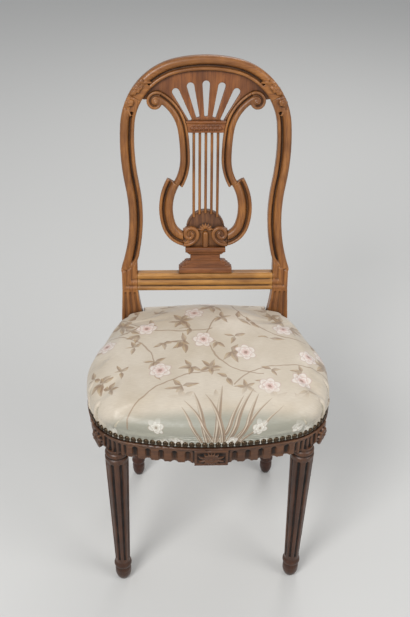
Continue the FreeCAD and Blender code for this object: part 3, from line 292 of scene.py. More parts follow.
def flower(matrix, petals, radius, width, height, heart):
    """Open flower of grooved petals round a button."""
    forms = []
    for petal in range(petals):
        turn = Matrix.Rotation(2 * math.pi * petal / petals, 4, "Z")
        lean = Matrix.Translation((heart * 0.5, 0, 0))
        forms.append(placed(leaf_form(radius - heart * 0.5, width, height), matrix @ turn @ lean))
    forms.append(placed(button_form(heart, height * 1.15), matrix))
    return forms


def shoulder_point(turn, radius):
    """Point on the shoulder's arc in the back's plane, turn measured from the top."""
    centre_x = (ARCH_RADIUS - SHOULDER_RADIUS) * math.sin(ARCH_TURN)
    centre_z = BACK_HEIGHT - ARCH_RADIUS + (ARCH_RADIUS - SHOULDER_RADIUS) * math.cos(ARCH_TURN)
    return centre_x + radius * math.sin(turn), centre_z + radius * math.cos(turn)


def face_tree(*names):
    """Faces of some solid parts, to be met by rays."""
    build = bmesh.new()
    for name in names:
        build.from_mesh(nodes[name].data)
    tree = BVHTree.FromBMesh(build)
    build.free()
    return tree


BACK_FACES = face_tree("crest_rail", "back_post_right", "back_post_left")
SEAT_FACES = face_tree("front_leg_right", "front_leg_left", "front_seat_rail")


def set_on(tree, place, along, out, reach=0.04):
    """Frame at the point where a ray from outside meets the faces near a place."""
    hit = tree.ray_cast(place + out * reach, -out, 2 * reach)[0]
    return frame_on(place if hit is None else hit, along, out)


def shoulder_frame(degrees, shift, side):
    """Place on a shoulder block, its X down the block; side is 1 for the right post."""
    turn = math.radians(degrees)
    x, z = shoulder_point(turn, SHOULDER_RADIUS - BAND_WIDTH / 2 + shift)
    along = BACK_TURN @ Vector((math.cos(turn) * side, 0, -math.sin(turn)))
    return set_on(BACK_FACES, BACK @ Vector((x * side, 0, z)), along, BACK_OUT)


def sprig(side, low, high):
    """Curled leaves and a flower on the outer half of one shoulder block, between two turns."""
    shift = BAND_WIDTH * 0.22
    forms = flower(shoulder_frame((low + high) / 2, shift, side), **SPRIG_FLOWER)
    for inset, tilt, length, aside in SPRIG_LEAVES:
        for start, degrees in ((low + inset, tilt), (high - inset, tilt + 180)):
            turn = Matrix.Rotation(math.radians(degrees * side), 4, "Z")
            place = shoulder_frame(start, shift + aside, side)
            forms.append(placed(leaf_form(length, **SPRIG_LEAF), place @ turn))
    return forms


def corner_spot(side, height):
    """Place on a front corner at a height, its X upwards."""
    reach = BOW_RADIUS - CORNER_RADIUS
    centre_y = SEAT_FRONT_Y + BOW_RADIUS - reach * math.cos(BOW_TURN)
    out = Vector((math.sin(ROSETTE_TURN), -math.cos(ROSETTE_TURN), 0))
    place = Vector((reach * math.sin(BOW_TURN), centre_y, 0)) + out * CORNER_RADIUS
    return set_on(SEAT_FACES, Vector((place.x * side, place.y, height)), Vector((0, 0, 1)),
                  Vector((out.x * side, out.y, 0)))


def corner_carving(side):
    """Rosette of a front corner and the leaf that hangs below it."""
    centre = corner_spot(side, ROSETTE_HEIGHT) @ Matrix.Translation((0, 0, -ROSETTE_SUNK))
    forms = flower(centre, **ROSETTE)
    top = corner_spot(side, ROSETTE_HEIGHT - 0.012)
    foot = corner_spot(side, ROSETTE_HEIGHT - 0.031)
    along = foot.translation - top.translation
    across = Vector((0, 0, 1)).cross(top.col[2].xyz)
    out = along.cross(across)
    if out.dot(top.col[2].xyz) < 0:
        out = -out
    hang = frame_on(top.translation, along, out.normalized())
    for tilt, length in ((0, 0.017), (30, 0.012), (-30, 0.012)):
        turn = Matrix.Rotation(math.radians(tilt), 4, "Z")
        forms.append(placed(leaf_form(length, **HANGING_LEAF), hang @ turn))
    return forms


def tablet_flower():
    """Petals that fill the tablet's oblong field from a button in its middle."""
    forms = []
    count = 14
    half_width, half_height = TABLET_FIELD
    middle = Vector((0, SEAT_FRONT_Y, TABLET_HEIGHT))
    place = set_on(SEAT_FACES, middle, Vector((1, 0, 0)), Vector((0, -1, 0)))
    for petal in range(count):
        angle = 2 * math.pi * (petal + 0.5) / count
        reach = 1 / math.hypot(math.cos(angle) / half_width, math.sin(angle) / half_height)
        turn = Matrix.Rotation(angle, 4, "Z") @ Matrix.Translation((0.0028, 0, 0))
        forms.append(placed(leaf_form(reach - 0.0022, **TABLET_PETAL), place @ turn))
    forms.append(placed(button_form(*TABLET_HEART), place))
    return forms


def yoke_beads():
    """Round beads and pointed darts in a row under the yoke's lip."""
    forms = []
    faces = face_tree("lyre_yoke")
    for number in range(-6, 7):
        x = number * YOKE_PITCH / 2
        if number % 2 == 0:
            spot = frame_on(BACK @ Vector((x, YOKE_FACE, YOKE_BEADS)), BACK_ACROSS, BACK_OUT)
            forms.append(placed(button_form(*YOKE_BEAD), spot))
        else:
            spot = set_on(faces, BACK @ Vector((x, 0, YOKE_BEADS)), BACK_ACROSS, BACK_OUT)
            turn = Matrix.Rotation(math.pi / 2, 4, "Z") @ Matrix.Translation((-0.006, 0, 0))
            forms.append(placed(leaf_form(**DART), spot @ turn))
    return forms


def bar_form(length, height, rise, sides=8):
    """Half-round bar along X with a flat foot."""
    vertices = []
    for end in (-length / 2, length / 2):
        for side in range(sides + 1):
            angle = math.pi * side / sides
            vertices.append((end, height / 2 * math.cos(angle), rise * math.sin(angle) ** 0.7))
        vertices.append((end, -height / 2, SINK))
        vertices.append((end, height / 2, SINK))
    ring = sides + 3
    faces = []
    for corner in range(ring):
        following = (corner + 1) % ring
        faces.append((corner, following, ring + following, ring + corner))
    faces.append(tuple(range(ring - 1, -1, -1)))
    faces.append(tuple(range(ring, 2 * ring)))
    return vertices, faces


def pedestal_mouldings():
    """Beads, fillets and steps across the face of the lyre's foot."""
    forms = []
    faces = face_tree("lyre_pedestal")
    for level, half, height, rise in PEDESTAL:
        place = set_on(faces, BACK @ Vector((0, 0, level)), Vector((1, 0, 0)), BACK_OUT)
        forms.append(placed(bar_form(2 * half, height, rise), place))
    return forms


def palmette():
    """Ribs of the little shell over the husk, between the volutes."""
    forms = []
    faces = face_tree("lyre_soundboard", "lyre_volute_block")
    for rib in range(-3, 4):
        angle = math.radians(26) * rib
        way = Vector((math.sin(angle), 0, math.cos(angle)))
        foot = Vector((0, 0, SHELL_Z)) + way * 0.003
        place = set_on(faces, BACK @ (foot + way * 0.006), BACK_TURN @ way, BACK_OUT)
        lean = Matrix.Translation((-0.006, 0, 0))
        forms.append(placed(leaf_form(**SHELL_RIB), place @ lean))
    return forms


def lip(side, degrees, tilt, length):
    """Raised lip that crosses the band where its roll runs into a shoulder block."""
    turn = Matrix.Rotation(math.radians(tilt * side), 4, "Z")
    return placed(bar_form(length, **LIP), shoulder_frame(degrees, 0.002, side) @ turn)


def scroll_boss(side):
    """Round boss with a small eye in the middle of an arm's scroll."""
    faces = face_tree("lyre_arm_right", "lyre_arm_left")
    centre = BACK @ Vector((SCROLL_X * side, 0, SCROLL_Z))
    place = set_on(faces, centre, BACK_ACROSS, BACK_OUT)
    eye = place @ Matrix.Translation((0, -0.002, 0))
    return [placed(button_form(*SCROLL_BOSS), place), placed(button_form(*SCROLL_EYE), eye)]


SIDES = (("right", 1), ("left", -1))
CARVING = {
    "lyre_pedestal": pedestal_mouldings(),
    "lyre_volute_block": palmette(),
    "lyre_yoke": yoke_beads(),
    "front_seat_rail": tablet_flower(),
    "crest_rail": [form for _, side in SIDES for form in sprig(side, *CREST_SPRIG)]}
for name, side in SIDES:
    CARVING["crest_rail"].append(lip(side, *CREST_LIP))
    CARVING["back_post_" + name] = sprig(side, *POST_SPRIG) + [lip(side, *POST_LIP)]
    CARVING["lyre_arm_" + name] = scroll_boss(side)
    CARVING["front_leg_" + name] = corner_carving(side)


# Materials
class Tree:
    """Short names for the shader nodes of one material."""

    def __init__(self, name):
        self.material = bpy.data.materials.new(name)
        self.material.use_nodes = True
        self.tree = self.material.node_tree
        self.shader = self.tree.nodes["Principled BSDF"]

    def node(self, kind, feeds=None, **settings):
        """New node with its settings, each socket in feeds linked or set."""
        made = self.tree.nodes.new("ShaderNode" + kind)
        configure(made, **settings)
        for key, value in (feeds or {}).items():
            self.put(made.inputs[key], value)
        return made

    def put(self, socket, value):
        """Link a socket to another one, or set its value."""
        if isinstance(value, bpy.types.NodeSocket):
            self.tree.links.new(value, socket)
        else:
            socket.default_value = value

    def math(self, operation, *values, clamp=False):
        feeds = dict(enumerate(values))
        return self.node("Math", feeds, operation=operation, use_clamp=clamp).outputs[0]

    def times(self, first, second, clamp=False):
        return self.math("MULTIPLY", first, second, clamp=clamp)

    def minus(self, first, second):
        return self.math("SUBTRACT", first, second)

    def vector(self, operation, *values):
        made = self.node("VectorMath", dict(enumerate(values)), operation=operation)
        return made.outputs["Value" if operation == "DISTANCE" else "Vector"]

    def split(self, vector):
        return self.node("SeparateXYZ", {0: vector}).outputs

    def ramp(self, value, low, high, start=0.0, end=1.0):
        """Smooth change from start to end as value runs from low to high."""
        feeds = dict(enumerate((value, low, high, start, end)))
        return self.node("MapRange", feeds, interpolation_type="SMOOTHSTEP").outputs[0]

    def mix(self, factor, first, second, blend="MIX"):
        feeds = {"Factor": factor, 6: first, 7: second}
        return self.node("Mix", feeds, data_type="RGBA", blend_type=blend).outputs[2]

    def noise(self, vector, scale, detail=3.0, roughness=0.5, distortion=0.0):
        feeds = dict(Vector=vector, Scale=scale, Detail=detail, Roughness=roughness)
        return self.node("TexNoise", dict(feeds, Distortion=distortion)).outputs[0]

    def place(self):
        return self.node("TexCoord").outputs["Object"]

    def bump(self, height, distance, strength=1.0, normal=None):
        feeds = dict(Height=height, Distance=distance, Strength=strength)
        if normal is not None:
            feeds["Normal"] = normal
        return self.node("Bump", feeds).outputs[0]

    def set(self, **values):
        for key, value in values.items():
            self.put(self.shader.inputs[key.replace("_", " ")], value)


def colour(red, green, blue):
    """Linear colour of an sRGB one given in 0 to 255."""
    def straight(value):
        value /= 255
        return value / 12.92 if value <= 0.04045 else ((value + 0.055) / 1.055) ** 2.4
    return (straight(red), straight(green), straight(blue), 1.0)


def wood(name, turn, light, middle, dark, recess_shade, depth=0.0022, shaded_below=False):
    """Waxed, worn wood with its grain along local Z after the turn, with painted shade in recesses of a
    depth and painted shade that darkens it towards the bottom.
    """
    t = Tree(name)
    grained = t.node("Mapping", dict(Vector=t.place(), Rotation=turn)).outputs[0]
    stretch = t.vector("MULTIPLY", grained, (1.0, 1.0, 0.07))
    broad = t.noise(grained, 14.0, 2.0)
    streak = t.noise(stretch, 150.0, 4.0, 0.6, 0.4)
    fibre = t.noise(stretch, 620.0, 2.0, 0.55)
    pores = t.noise(t.vector("MULTIPLY", grained, (1.0, 1.0, 0.045)), 1100.0, 1.0)
    figure = t.math("ADD", t.times(streak, 0.6), t.times(fibre, 0.4))
    tone = t.mix(t.ramp(figure, 0.36, 0.64), middle, light)
    tone = t.mix(t.ramp(broad, 0.35, 0.7, 0.0, 0.55), tone, dark)
    tone = t.mix(t.ramp(pores, 0.62, 0.72, 0.0, 0.45), tone, dark)
    patch = t.noise(grained, 45.0, 4.0, 0.65)
    # Painted shade: ambient occlusion and the cavity map darken recesses and gaps between parts towards
    # the recess shade colour, a little less in random patches.
    occlusion = t.node("AmbientOcclusion", dict(Distance=0.010), samples=6)
    cavity = t.node("Attribute", attribute_name="cavity").outputs["Fac"]
    hollow = t.ramp(cavity, 0.04 * depth, depth)
    shade = t.times(t.ramp(occlusion.outputs["AO"], 0.3, 0.9, 1.0, 0.0), 0.6)
    shade = t.math("MAXIMUM", shade, hollow)
    shade = t.times(shade, t.ramp(patch, 0.2, 0.6, 0.78, 1.0), clamp=True)
    tone = t.mix(shade, tone, recess_shade)
    worn = t.times(t.ramp(cavity, -0.0008, -0.0030), t.ramp(patch, 0.35, 0.65, 0.08, 0.6))
    rubbed = colour(206, 160, 108)
    tone = t.mix(worn, tone, t.mix(0.35, light, rubbed))
    # Painted shade: every wood is darkened towards the bottom, below the seat, where the legs stand in
    # shade.
    height = t.split(t.place())[2]
    clear_of_shade = t.ramp(height, 0.26, 0.48)
    under_seat_shade = colour(190, 172, 162)
    tone = t.mix(clear_of_shade, t.mix(1.0, tone, under_seat_shade, "MULTIPLY"), tone)
    # Painted shade: the raked posts are darkened further low down, where they run on as the rear legs
    # under the seat.
    if shaded_below:
        lower = t.ramp(height, 0.36, 0.43, 1.0, 0.0)
        low_shade_tint = colour(156, 134, 120)
        tone = t.mix(lower, tone, t.mix(1.0, tone, low_shade_tint, "MULTIPLY"))
    polish = t.ramp(patch, 0.25, 0.75, 0.33, 0.52)
    t.set(Base_Color=tone, Roughness=t.math("ADD", polish, t.times(hollow, 0.3), clamp=True))
    t.set(Coat_Weight=t.times(t.minus(1.0, hollow), 0.18))
    t.set(Coat_Roughness=0.28, Specular_IOR_Level=0.42)
    carved = t.bump(patch, 0.0006, 0.35)
    grain = t.bump(t.math("ADD", fibre, t.ramp(pores, 0.62, 0.72, 0.0, -0.6)), 0.0002, 0.5, carved)
    t.set(Normal=grain)
    return t.material


UPRIGHT = (0.0, 0.0, 0.0)
ACROSS = (0.0, math.pi / 2, 0.0)
DEEP = (math.pi / 2, 0.0, 0.0)
RAKED = (BACK_RAKE, 0.0, 0.0)
# Light, middle and dark tones of each wood, and last the colour of its painted shade in recesses.
GOLDEN = (colour(163, 107, 53), colour(125, 76, 35), colour(84, 48, 25), colour(36, 21, 13))
REEDY = (colour(182, 130, 66), colour(148, 100, 46), colour(104, 63, 30), colour(38, 22, 13))
RUDDY = (colour(148, 91, 46), colour(112, 64, 32), colour(74, 42, 24), colour(32, 19, 13))
SHADY = (colour(122, 80, 48), colour(86, 52, 32), colour(58, 36, 24), colour(24, 16, 13))
# BROWN, for the legs and seat rails, is partly a darker wood and partly painted shade, as they stand under
# the seat.
BROWN = (colour(116, 74, 40), colour(84, 51, 28), colour(56, 34, 20), colour(14, 10, 8))

# The raked posts also get painted shade low down, where they are the rear legs.
WOOD_RAKED = wood("wood_raked", RAKED, *GOLDEN, shaded_below=True)
WOOD_CREST = wood("wood_crest", ACROSS, *GOLDEN)
WOOD_FAN = wood("wood_fan", RAKED, *RUDDY)
WOOD_LYRE = wood("wood_lyre", RAKED, *GOLDEN)
WOOD_FOOT = wood("wood_foot", ACROSS, *RUDDY)
WOOD_REED = wood("wood_reed", ACROSS, *REEDY, depth=0.0012)
WOOD_BOARD = wood("wood_board", RAKED, *SHADY, depth=0.0014)
WOOD_LEG = wood("wood_leg", UPRIGHT, *BROWN, depth=0.0010)
WOOD_RAIL = wood("wood_rail", ACROSS, *BROWN, depth=0.0012)
WOOD_SIDE = wood("wood_side", DEEP, *BROWN, depth=0.0012)

WOODEN = {
    "crest_rail": (WOOD_CREST, 0.0010), "back_post_right": (WOOD_RAKED, 0.0011),
    "back_post_left": (WOOD_RAKED, 0.0011), "lower_back_rail": (WOOD_REED, 0.0011),
    "lyre_fan": (WOOD_FAN, 0.0011), "lyre_arm_right": (WOOD_LYRE, 0.0010),
    "lyre_arm_left": (WOOD_LYRE, 0.0010), "lyre_bowl_right": (WOOD_LYRE, 0.0010),
    "lyre_bowl_left": (WOOD_LYRE, 0.0010), "lyre_yoke": (WOOD_FOOT, 0.0009),
    "lyre_soundboard": (WOOD_BOARD, 0.0007), "lyre_volute_block": (WOOD_LYRE, 0.0007),
    "lyre_pedestal": (WOOD_FOOT, 0.0008), "front_leg_right": (WOOD_LEG, 0.0010),
    "front_leg_left": (WOOD_LEG, 0.0010), "front_seat_rail": (WOOD_RAIL, 0.0010),
    "side_seat_rail_right": (WOOD_SIDE, 0.0011), "side_seat_rail_left": (WOOD_SIDE, 0.0011),
    "rear_seat_rail": (WOOD_RAIL, 0.0015)}
for number in range(1, 6):
    WOODEN["lyre_string_%d" % number] = (WOOD_LYRE, 0.0007)


def map_cavities(piece):
    """Keep how deep each point lies under a smoothed skin: recesses above 0, edges below."""
    smooth = linked("smooth", piece.data.copy())
    modify(smooth, "SMOOTH", factor=0.5, iterations=140)
    applied(smooth)
    depth = ((coordinates(smooth.data) - coordinates(piece.data)) * normals(piece.data)).sum(axis=1)
    bpy.data.objects.remove(smooth)
    cavity = piece.data.attributes.new("cavity", "FLOAT", "POINT")
    cavity.data.foreach_set("value", depth.astype(np.float32))


def carved_piece(node, material, voxel):
    """Hand-softened copy of a wooden part with its carving, made one skin by a fine remesh."""
    source = nodes[node]
    mesh = source.data.copy()
    build = bmesh.new()
    build.from_mesh(mesh)
    for vertices, faces in CARVING.get(node, ()):
        corners = [build.verts.new(v) for v in vertices]
        for face in faces:
            build.faces.new([corners[index] for index in face])
    build.to_mesh(mesh)
    build.free()
    piece = linked(node + "_carved", mesh)
    modify(piece, "REMESH", mode="VOXEL", voxel_size=voxel, use_smooth_shade=True)
    modify(piece, "SMOOTH", factor=0.5, iterations=1)
    applied(piece)
    map_cavities(piece)
    dress(piece, material)
    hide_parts(node)


# Cover of the seat
def square_spoke(i, j):
    """Angle and share of the reach that a corner of the square grid's cells has on the seat."""
    u = i * 2 / COVER_CELLS - 1
    v = j * 2 / COVER_CELLS - 1
    share = max(abs(u), abs(v))
    if share == 0:
        return 0.0, 0.0
    if abs(u) >= abs(v):
        return math.pi / 4 * v / u + (math.pi if u < 0 else 0.0), share
    return math.pi / 2 - math.pi / 4 * u / v + (math.pi if v < 0 else 0.0), share


def border_cells(count):
    """Border of the square grid, counterclockwise."""
    cells = [(index, 0) for index in range(count)]
    cells += [(count, index) for index in range(count)]
    cells += [(count - index, count) for index in range(count)]
    cells += [(0, count - index) for index in range(count)]
    return cells


def side_profile(tree, angle, levels):
    """Points of the cover's side over one spoke, from the shoulder down to the hem."""
    way = Vector((math.cos(angle), math.sin(angle), 0))
    points = []
    reach = 0.2
    for level in levels:
        start = COVER_CENTRE + Vector((0, 0, level))
        hit = tree.ray_cast(start + way * 0.5, -way, 0.6)[0]
        if hit is not None and (hit - start).dot(way) > 0.1:
            reach = (hit - start).dot(way)
        points.append(start + way * reach)
    return points


def cover_mesh():
    """Cover as a quad grid, with the place of each point in the flat cloth kept as an attribute."""
    tree = face_tree("seat_cover", "seat_stuffing")
    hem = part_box("seat_cover")[0].z + 0.0003
    shoulder = hem + COVER_SIDE
    levels = [shoulder + (hem - shoulder) * row / COVER_SIDE_ROWS for row in range(COVER_SIDE_ROWS + 1)]
    vertices = []
    spread = []
    faces = []
    index_of = {}
    sides = {}
    border = border_cells(COVER_CELLS)
    for cell in border:
        sides[cell] = side_profile(tree, square_spoke(*cell)[0], levels)
    for i in range(COVER_CELLS + 1):
        for j in range(COVER_CELLS + 1):
            angle, share = square_spoke(i, j)
            way = Vector((math.cos(angle), math.sin(angle), 0))
            edge = side_profile(tree, angle, levels[:1])[0]
            reach = (edge - COVER_CENTRE).to_2d().length * share
            index_of[i, j] = len(vertices)
            if share == 1:
                vertices.append(edge)
            else:
                above = COVER_CENTRE + way * reach + Vector((0, 0, 0.7))
                vertices.append(tree.ray_cast(above, Vector((0, 0, -1)), 0.6)[0])
            spread.append(COVER_CENTRE + way * reach)
    for i in range(COVER_CELLS):
        for j in range(COVER_CELLS):
            corners = ((i, j), (i + 1, j), (i + 1, j + 1), (i, j + 1))
            faces.append(tuple(index_of[corner] for corner in corners))
    upper = [index_of[cell] for cell in border]
    for row in range(1, COVER_SIDE_ROWS + 1):
        lower = []
        for place, cell in enumerate(border):
            lower.append(len(vertices))
            point = sides[cell][row]
            before = vertices[upper[place]]
            vertices.append(point)
            way = (spread[upper[place]] - COVER_CENTRE).normalized()
            spread.append(spread[upper[place]] + way * (point - before).length)
        for place in range(len(border)):
            following = (place + 1) % len(border)
            faces.append((lower[place], lower[following], upper[following], upper[place]))
        upper = lower
    piece = mesh_object("cover_silk", vertices, faces)
    cloth = piece.data.attributes.new("cloth", "FLOAT_VECTOR", "POINT")
    cloth.data.foreach_set("vector", np.array([tuple(point) for point in spread]).reshape(-1))
    return piece


def inflate(piece):
    """Swell the cover by cloth pressure, pinned at its hem and at the posts, and cap its movement."""
    start = coordinates(piece.data)
    aside = np.abs(start[:, 0])
    free = (start[:, 2] > COVER_PINNED) & ((aside < NOTCH_X) | (start[:, 1] < NOTCH_Y))
    beside = np.hypot(aside - NOTCH_CENTRE[0], start[:, 1] - NOTCH_CENTRE[1])
    beside = np.clip((beside - 0.05) / 0.03, 0, 1)
    start[free] -= normals(piece.data)[free] * (COVER_SHRINK * beside[free])[:, None]
    set_coordinates(piece.data, start)
    pins = piece.vertex_groups.new(name="hem")
    pins.add([int(index) for index in np.nonzero(~free)[0]], 1.0, "REPLACE")
    cloth = modify(piece, "CLOTH")
    configure(cloth.settings, **SILK_CLOTH, vertex_group_mass="hem", use_pressure=True)
    cloth.settings.effector_weights.gravity = 0.0
    configure(cloth.collision_settings, use_collision=False, use_self_collision=False)
    scene = bpy.context.scene
    for step in range(1, 21):
        scene.frame_set(step)
    applied(piece)
    scene.frame_set(1)
    shift = coordinates(piece.data) - start
    length = np.linalg.norm(shift, axis=1)
    factor = np.minimum(1.0, COVER_CAP / np.maximum(length, 1e-9))
    set_coordinates(piece.data, start + shift * factor[:, None])


def swell(piece):
    """Raise the crown towards the back, where the seat is fullest."""
    points = coordinates(piece.data)
    away = np.hypot(points[:, 0] / 0.170, (points[:, 1] - 0.045) / 0.180)
    rise = np.cos(np.clip(away, 0, 1) * math.pi / 2) ** 2 * COVER_SWELL
    points[:, 2] += rise * (points[:, 2] > COVER_PINNED + 0.03)
    set_coordinates(piece.data, points)


def nail_places():
    """Foot and outward direction of each nail, from the solid nails."""
    build = bmesh.new()
    build.from_mesh(nodes["upholstery_nails"].data)
    bmesh.ops.remove_doubles(build, verts=build.verts, dist=1e-6)
    seen = set()
    places = []
    for first in build.verts:
        if first in seen:
            continue
        island = [first]
        seen.add(first)
        for vertex in island:
            for edge in vertex.link_edges:
                other = edge.other_vert(vertex)
                if other not in seen:
                    seen.add(other)
                    island.append(other)
        points = [vertex.co.copy() for vertex in island]
        middle = sum(points, Vector()) / len(points)
        way = Vector((middle.x, middle.y - COVER_CENTRE.y, 0)).normalized()
        reach = [point.dot(way) for point in points]
        tip = [point for point, value in zip(points, reach) if value < min(reach) + 0.0006]
        head = [point for point, value in zip(points, reach) if value > max(reach) - 0.0004]
        tail = sum(tip, Vector()) / len(tip)
        crown = sum(head, Vector()) / len(head)
        out = Vector((crown.x - tail.x, crown.y - tail.y, 0)).normalized()
        places.append((crown - out * 0.003, out))
    build.free()
    return places


def pinch_hem(piece, places):
    """Small dents at the nails and soft folds that run up from them."""
    points = coordinates(piece.data)
    outs = normals(piece.data)
    feet = np.array([tuple(foot) for foot, _ in places])
    low = points[:, 2].min()
    for index in np.nonzero(points[:, 2] < low + 0.034)[0]:
        x, y, z = points[index]
        flat = np.hypot(feet[:, 0] - x, feet[:, 1] - y)
        nearest = flat.min()
        climb = max(z - feet[0, 2], 0.0)
        fade = math.exp(-climb / 0.011)
        dent = math.exp(-(nearest / 0.0028) ** 2)
        points[index] -= outs[index] * (dent * 0.0011 * fade)
        bulge = math.exp(-((nearest - 0.0058) / 0.0024) ** 2)
        points[index] += outs[index] * (bulge * 0.0007 * fade)
    set_coordinates(piece.data, points)


def pleats(piece):
    """Folded pleats where the silk turns the front corners."""
    points = coordinates(piece.data)
    outs = normals(piece.data)
    low = points[:, 2].min()
    for index in np.nonzero(points[:, 2] < low + 0.06)[0]:
        x, y, z = points[index]
        away = abs(math.degrees(math.atan2(x, COVER_CENTRE.y - y)))
        climb = (z - low) / PLEAT_CLIMB
        if away < 30 or away > 75 or climb > 1:
            continue
        fade = (1 - climb) ** 0.5 * min(max((z - COVER_PINNED + 0.004) / 0.009, 0.0), 1.0)
        depth = 0.0
        for centre, lean, width, size in PLEATS:
            offset = away - (centre + lean * climb)
            ridge = math.exp(-((offset - width) / (width * 1.1)) ** 2)
            crease = math.exp(-(offset / (width * 0.5)) ** 2)
            depth += size * (0.6 * ridge - crease)
        points[index] += outs[index] * (depth * fade)
    set_coordinates(piece.data, points)


def silk():
    """Ivory silk with a faded growth of leaves, blossoms and reeds."""
    t = Tree("silk")
    cloth = t.node("Attribute", attribute_name="cloth").outputs["Vector"]
    warp = t.node("TexNoise", dict(Vector=cloth, Scale=26.0)).outputs["Color"]
    centred = t.vector("SUBTRACT", warp, (0.5, 0.5, 0.5))
    bend = t.node("VectorMath", {0: centred, "Scale": 0.012}, operation="SCALE").outputs[0]
    flowing = t.vector("ADD", cloth, bend)
    across, up, _ = t.split(cloth)

    ivory = colour(205, 194, 177)
    cream = colour(192, 179, 159)
    drop_shade_and_print = colour(144, 145, 132)
    taupe = colour(146, 120, 96)
    umber = colour(112, 88, 68)
    rose = colour(206, 172, 162)
    white = colour(228, 225, 216)
    pearl = colour(200, 194, 180)

    blotch = t.noise(cloth, 9.0, 3.0)
    tone = t.mix(t.ramp(blotch, 0.35, 0.65), ivory, cream)
    # The front drop is tinted grey-green: a little of it printed colour, most of it painted shade where
    # the drop faces away from the light above.
    edge = t.ramp(up, -0.230, -0.200, 1.0, 0.0)
    tone = t.mix(t.times(edge, 0.85), tone, drop_shade_and_print)
    upper = t.ramp(up, -0.185, -0.15)
    faded = t.ramp(t.noise(cloth, 60.0, 3.0), 0.3, 0.62, 0.6, 1.0)

    def cells(scale, randomness, shift):
        """Random centres over the cloth: distance and angle to the nearest, and its dice."""
        moved = t.vector("ADD", flowing, shift)
        feeds = dict(Vector=moved, Scale=scale, Randomness=randomness)
        made = t.node("TexVoronoi", feeds, voronoi_dimensions="2D", feature="F1")
        x, y, _ = t.split(t.vector("SUBTRACT", moved, made.outputs["Position"]))
        chance = t.node("SeparateColor", {0: made.outputs["Color"]}).outputs
        reach = t.math("DIVIDE", made.outputs["Distance"], scale)
        angle = t.math("ARCTAN2", y, x)
        angle = t.math("ADD", angle, t.times(chance[0], 6.283))
        return reach, angle, chance

    def sprays(base, scale, shift, count, length, half, share):
        """Leaves that spread from points, one side of each darker, some left out at random."""
        reach, angle, chance = cells(scale, 0.9, shift)
        sector = t.times(t.math("ADD", angle, 12.566), count / (2 * math.pi))
        index = t.math("FLOOR", sector)
        middle = t.minus(t.minus(sector, index), 0.5)
        offset = t.times(middle, 2 * math.pi / count)
        pair = t.node("CombineXYZ", {0: index, 1: chance[1]}).outputs[0]
        dice = t.node("TexWhiteNoise", dict(Vector=pair), noise_dimensions="2D").outputs["Value"]
        size = t.times(t.ramp(dice, 0.0, 1.0, 0.6, 1.0), length)
        along = t.math("DIVIDE", reach, size)
        belly = t.math("SINE", t.times(t.math("POWER", along, 0.75), math.pi))
        aside = t.times(reach, t.math("SINE", offset))
        apart = t.math("ABSOLUTE", aside)
        inside = t.ramp(t.minus(t.times(belly, half), apart), 0.0, 0.0009)
        inside = t.times(inside, t.math("LESS_THAN", along, 1.0))
        inside = t.times(inside, t.math("GREATER_THAN", dice, 1 - share))
        inside = t.times(inside, t.math("GREATER_THAN", chance[2], 0.2))
        leaf = t.mix(t.ramp(aside, -0.0008, 0.0012), colour(176, 152, 120), taupe)
        leaf = t.mix(t.ramp(along, 0.1, 0.6, 0.45, 0.0), leaf, umber)
        leaf = t.mix(t.ramp(apart, 0.0002, 0.0006, 0.6, 0.0), leaf, umber)
        strength = t.times(t.times(inside, upper), t.times(faded, 0.88))
        return t.mix(strength, base, leaf)

    def blossoms(base, zone, scale, shift, petals, radius, keep, fill, outline):
        """Open flowers of two rings of scalloped petals round a small heart."""
        reach, angle, chance = cells(scale, 0.8, shift)
        there = t.times(t.math("GREATER_THAN", chance[1], 1 - keep), zone)
        made = base
        for size, turn in ((1.0, 0.0), (0.62, 1.6)):
            wave = t.math("ABSOLUTE", t.math("COSINE", t.times(t.math("ADD", angle, turn), petals / 2)))
            edge_at = t.times(t.math("ADD", t.times(wave, 0.3), 0.7), radius * size)
            share = t.math("DIVIDE", reach, edge_at)
            disc = t.times(t.ramp(share, 0.94, 1.0, 1.0, 0.0), there)
            shade = t.mix(t.ramp(share, 0.2, 1.0), fill, white)
            made = t.mix(t.times(disc, 0.75), made, shade)
            rim = t.ramp(t.math("ABSOLUTE", t.minus(share, 0.95)), 0.02, 0.1, 1.0, 0.0)
            rays = t.ramp(wave, 0.03, 0.2, 0.8, 0.0)
            line = t.times(t.math("MAXIMUM", rim, t.times(rays, disc)), there)
            made = t.mix(t.times(line, 0.5), made, outline)
        heart = t.times(t.ramp(share, 0.2, 0.32, 1.0, 0.0), there)
        return t.mix(t.times(heart, 0.6), made, umber)

    def boughs(base):
        """Thin crooked branches, as parts of circles."""
        made = base
        for x, y, radius, mid_x, mid_y, reach in (
                (0.02, -0.30, 0.19, -0.10, -0.13, 0.12), (0.10, -0.02, 0.10, 0.02, -0.06, 0.10),
                (-0.03, 0.16, 0.16, -0.10, 0.02, 0.11), (0.20, 0.14, 0.15, 0.10, 0.02, 0.10),
                (0.16, -0.24, 0.15, 0.13, -0.10, 0.10), (-0.22, -0.10, 0.12, -0.13, -0.03, 0.08)):
            ring = t.vector("DISTANCE", flowing, (x, y, 0.0))
            line = t.ramp(t.math("ABSOLUTE", t.minus(ring, radius)), 0.0008, 0.0019, 1.0, 0.0)
            near = t.math("LESS_THAN", t.vector("DISTANCE", flowing, (mid_x, mid_y, 0.0)), reach)
            made = t.mix(t.times(t.times(line, near), 0.7), made, taupe)
        return made

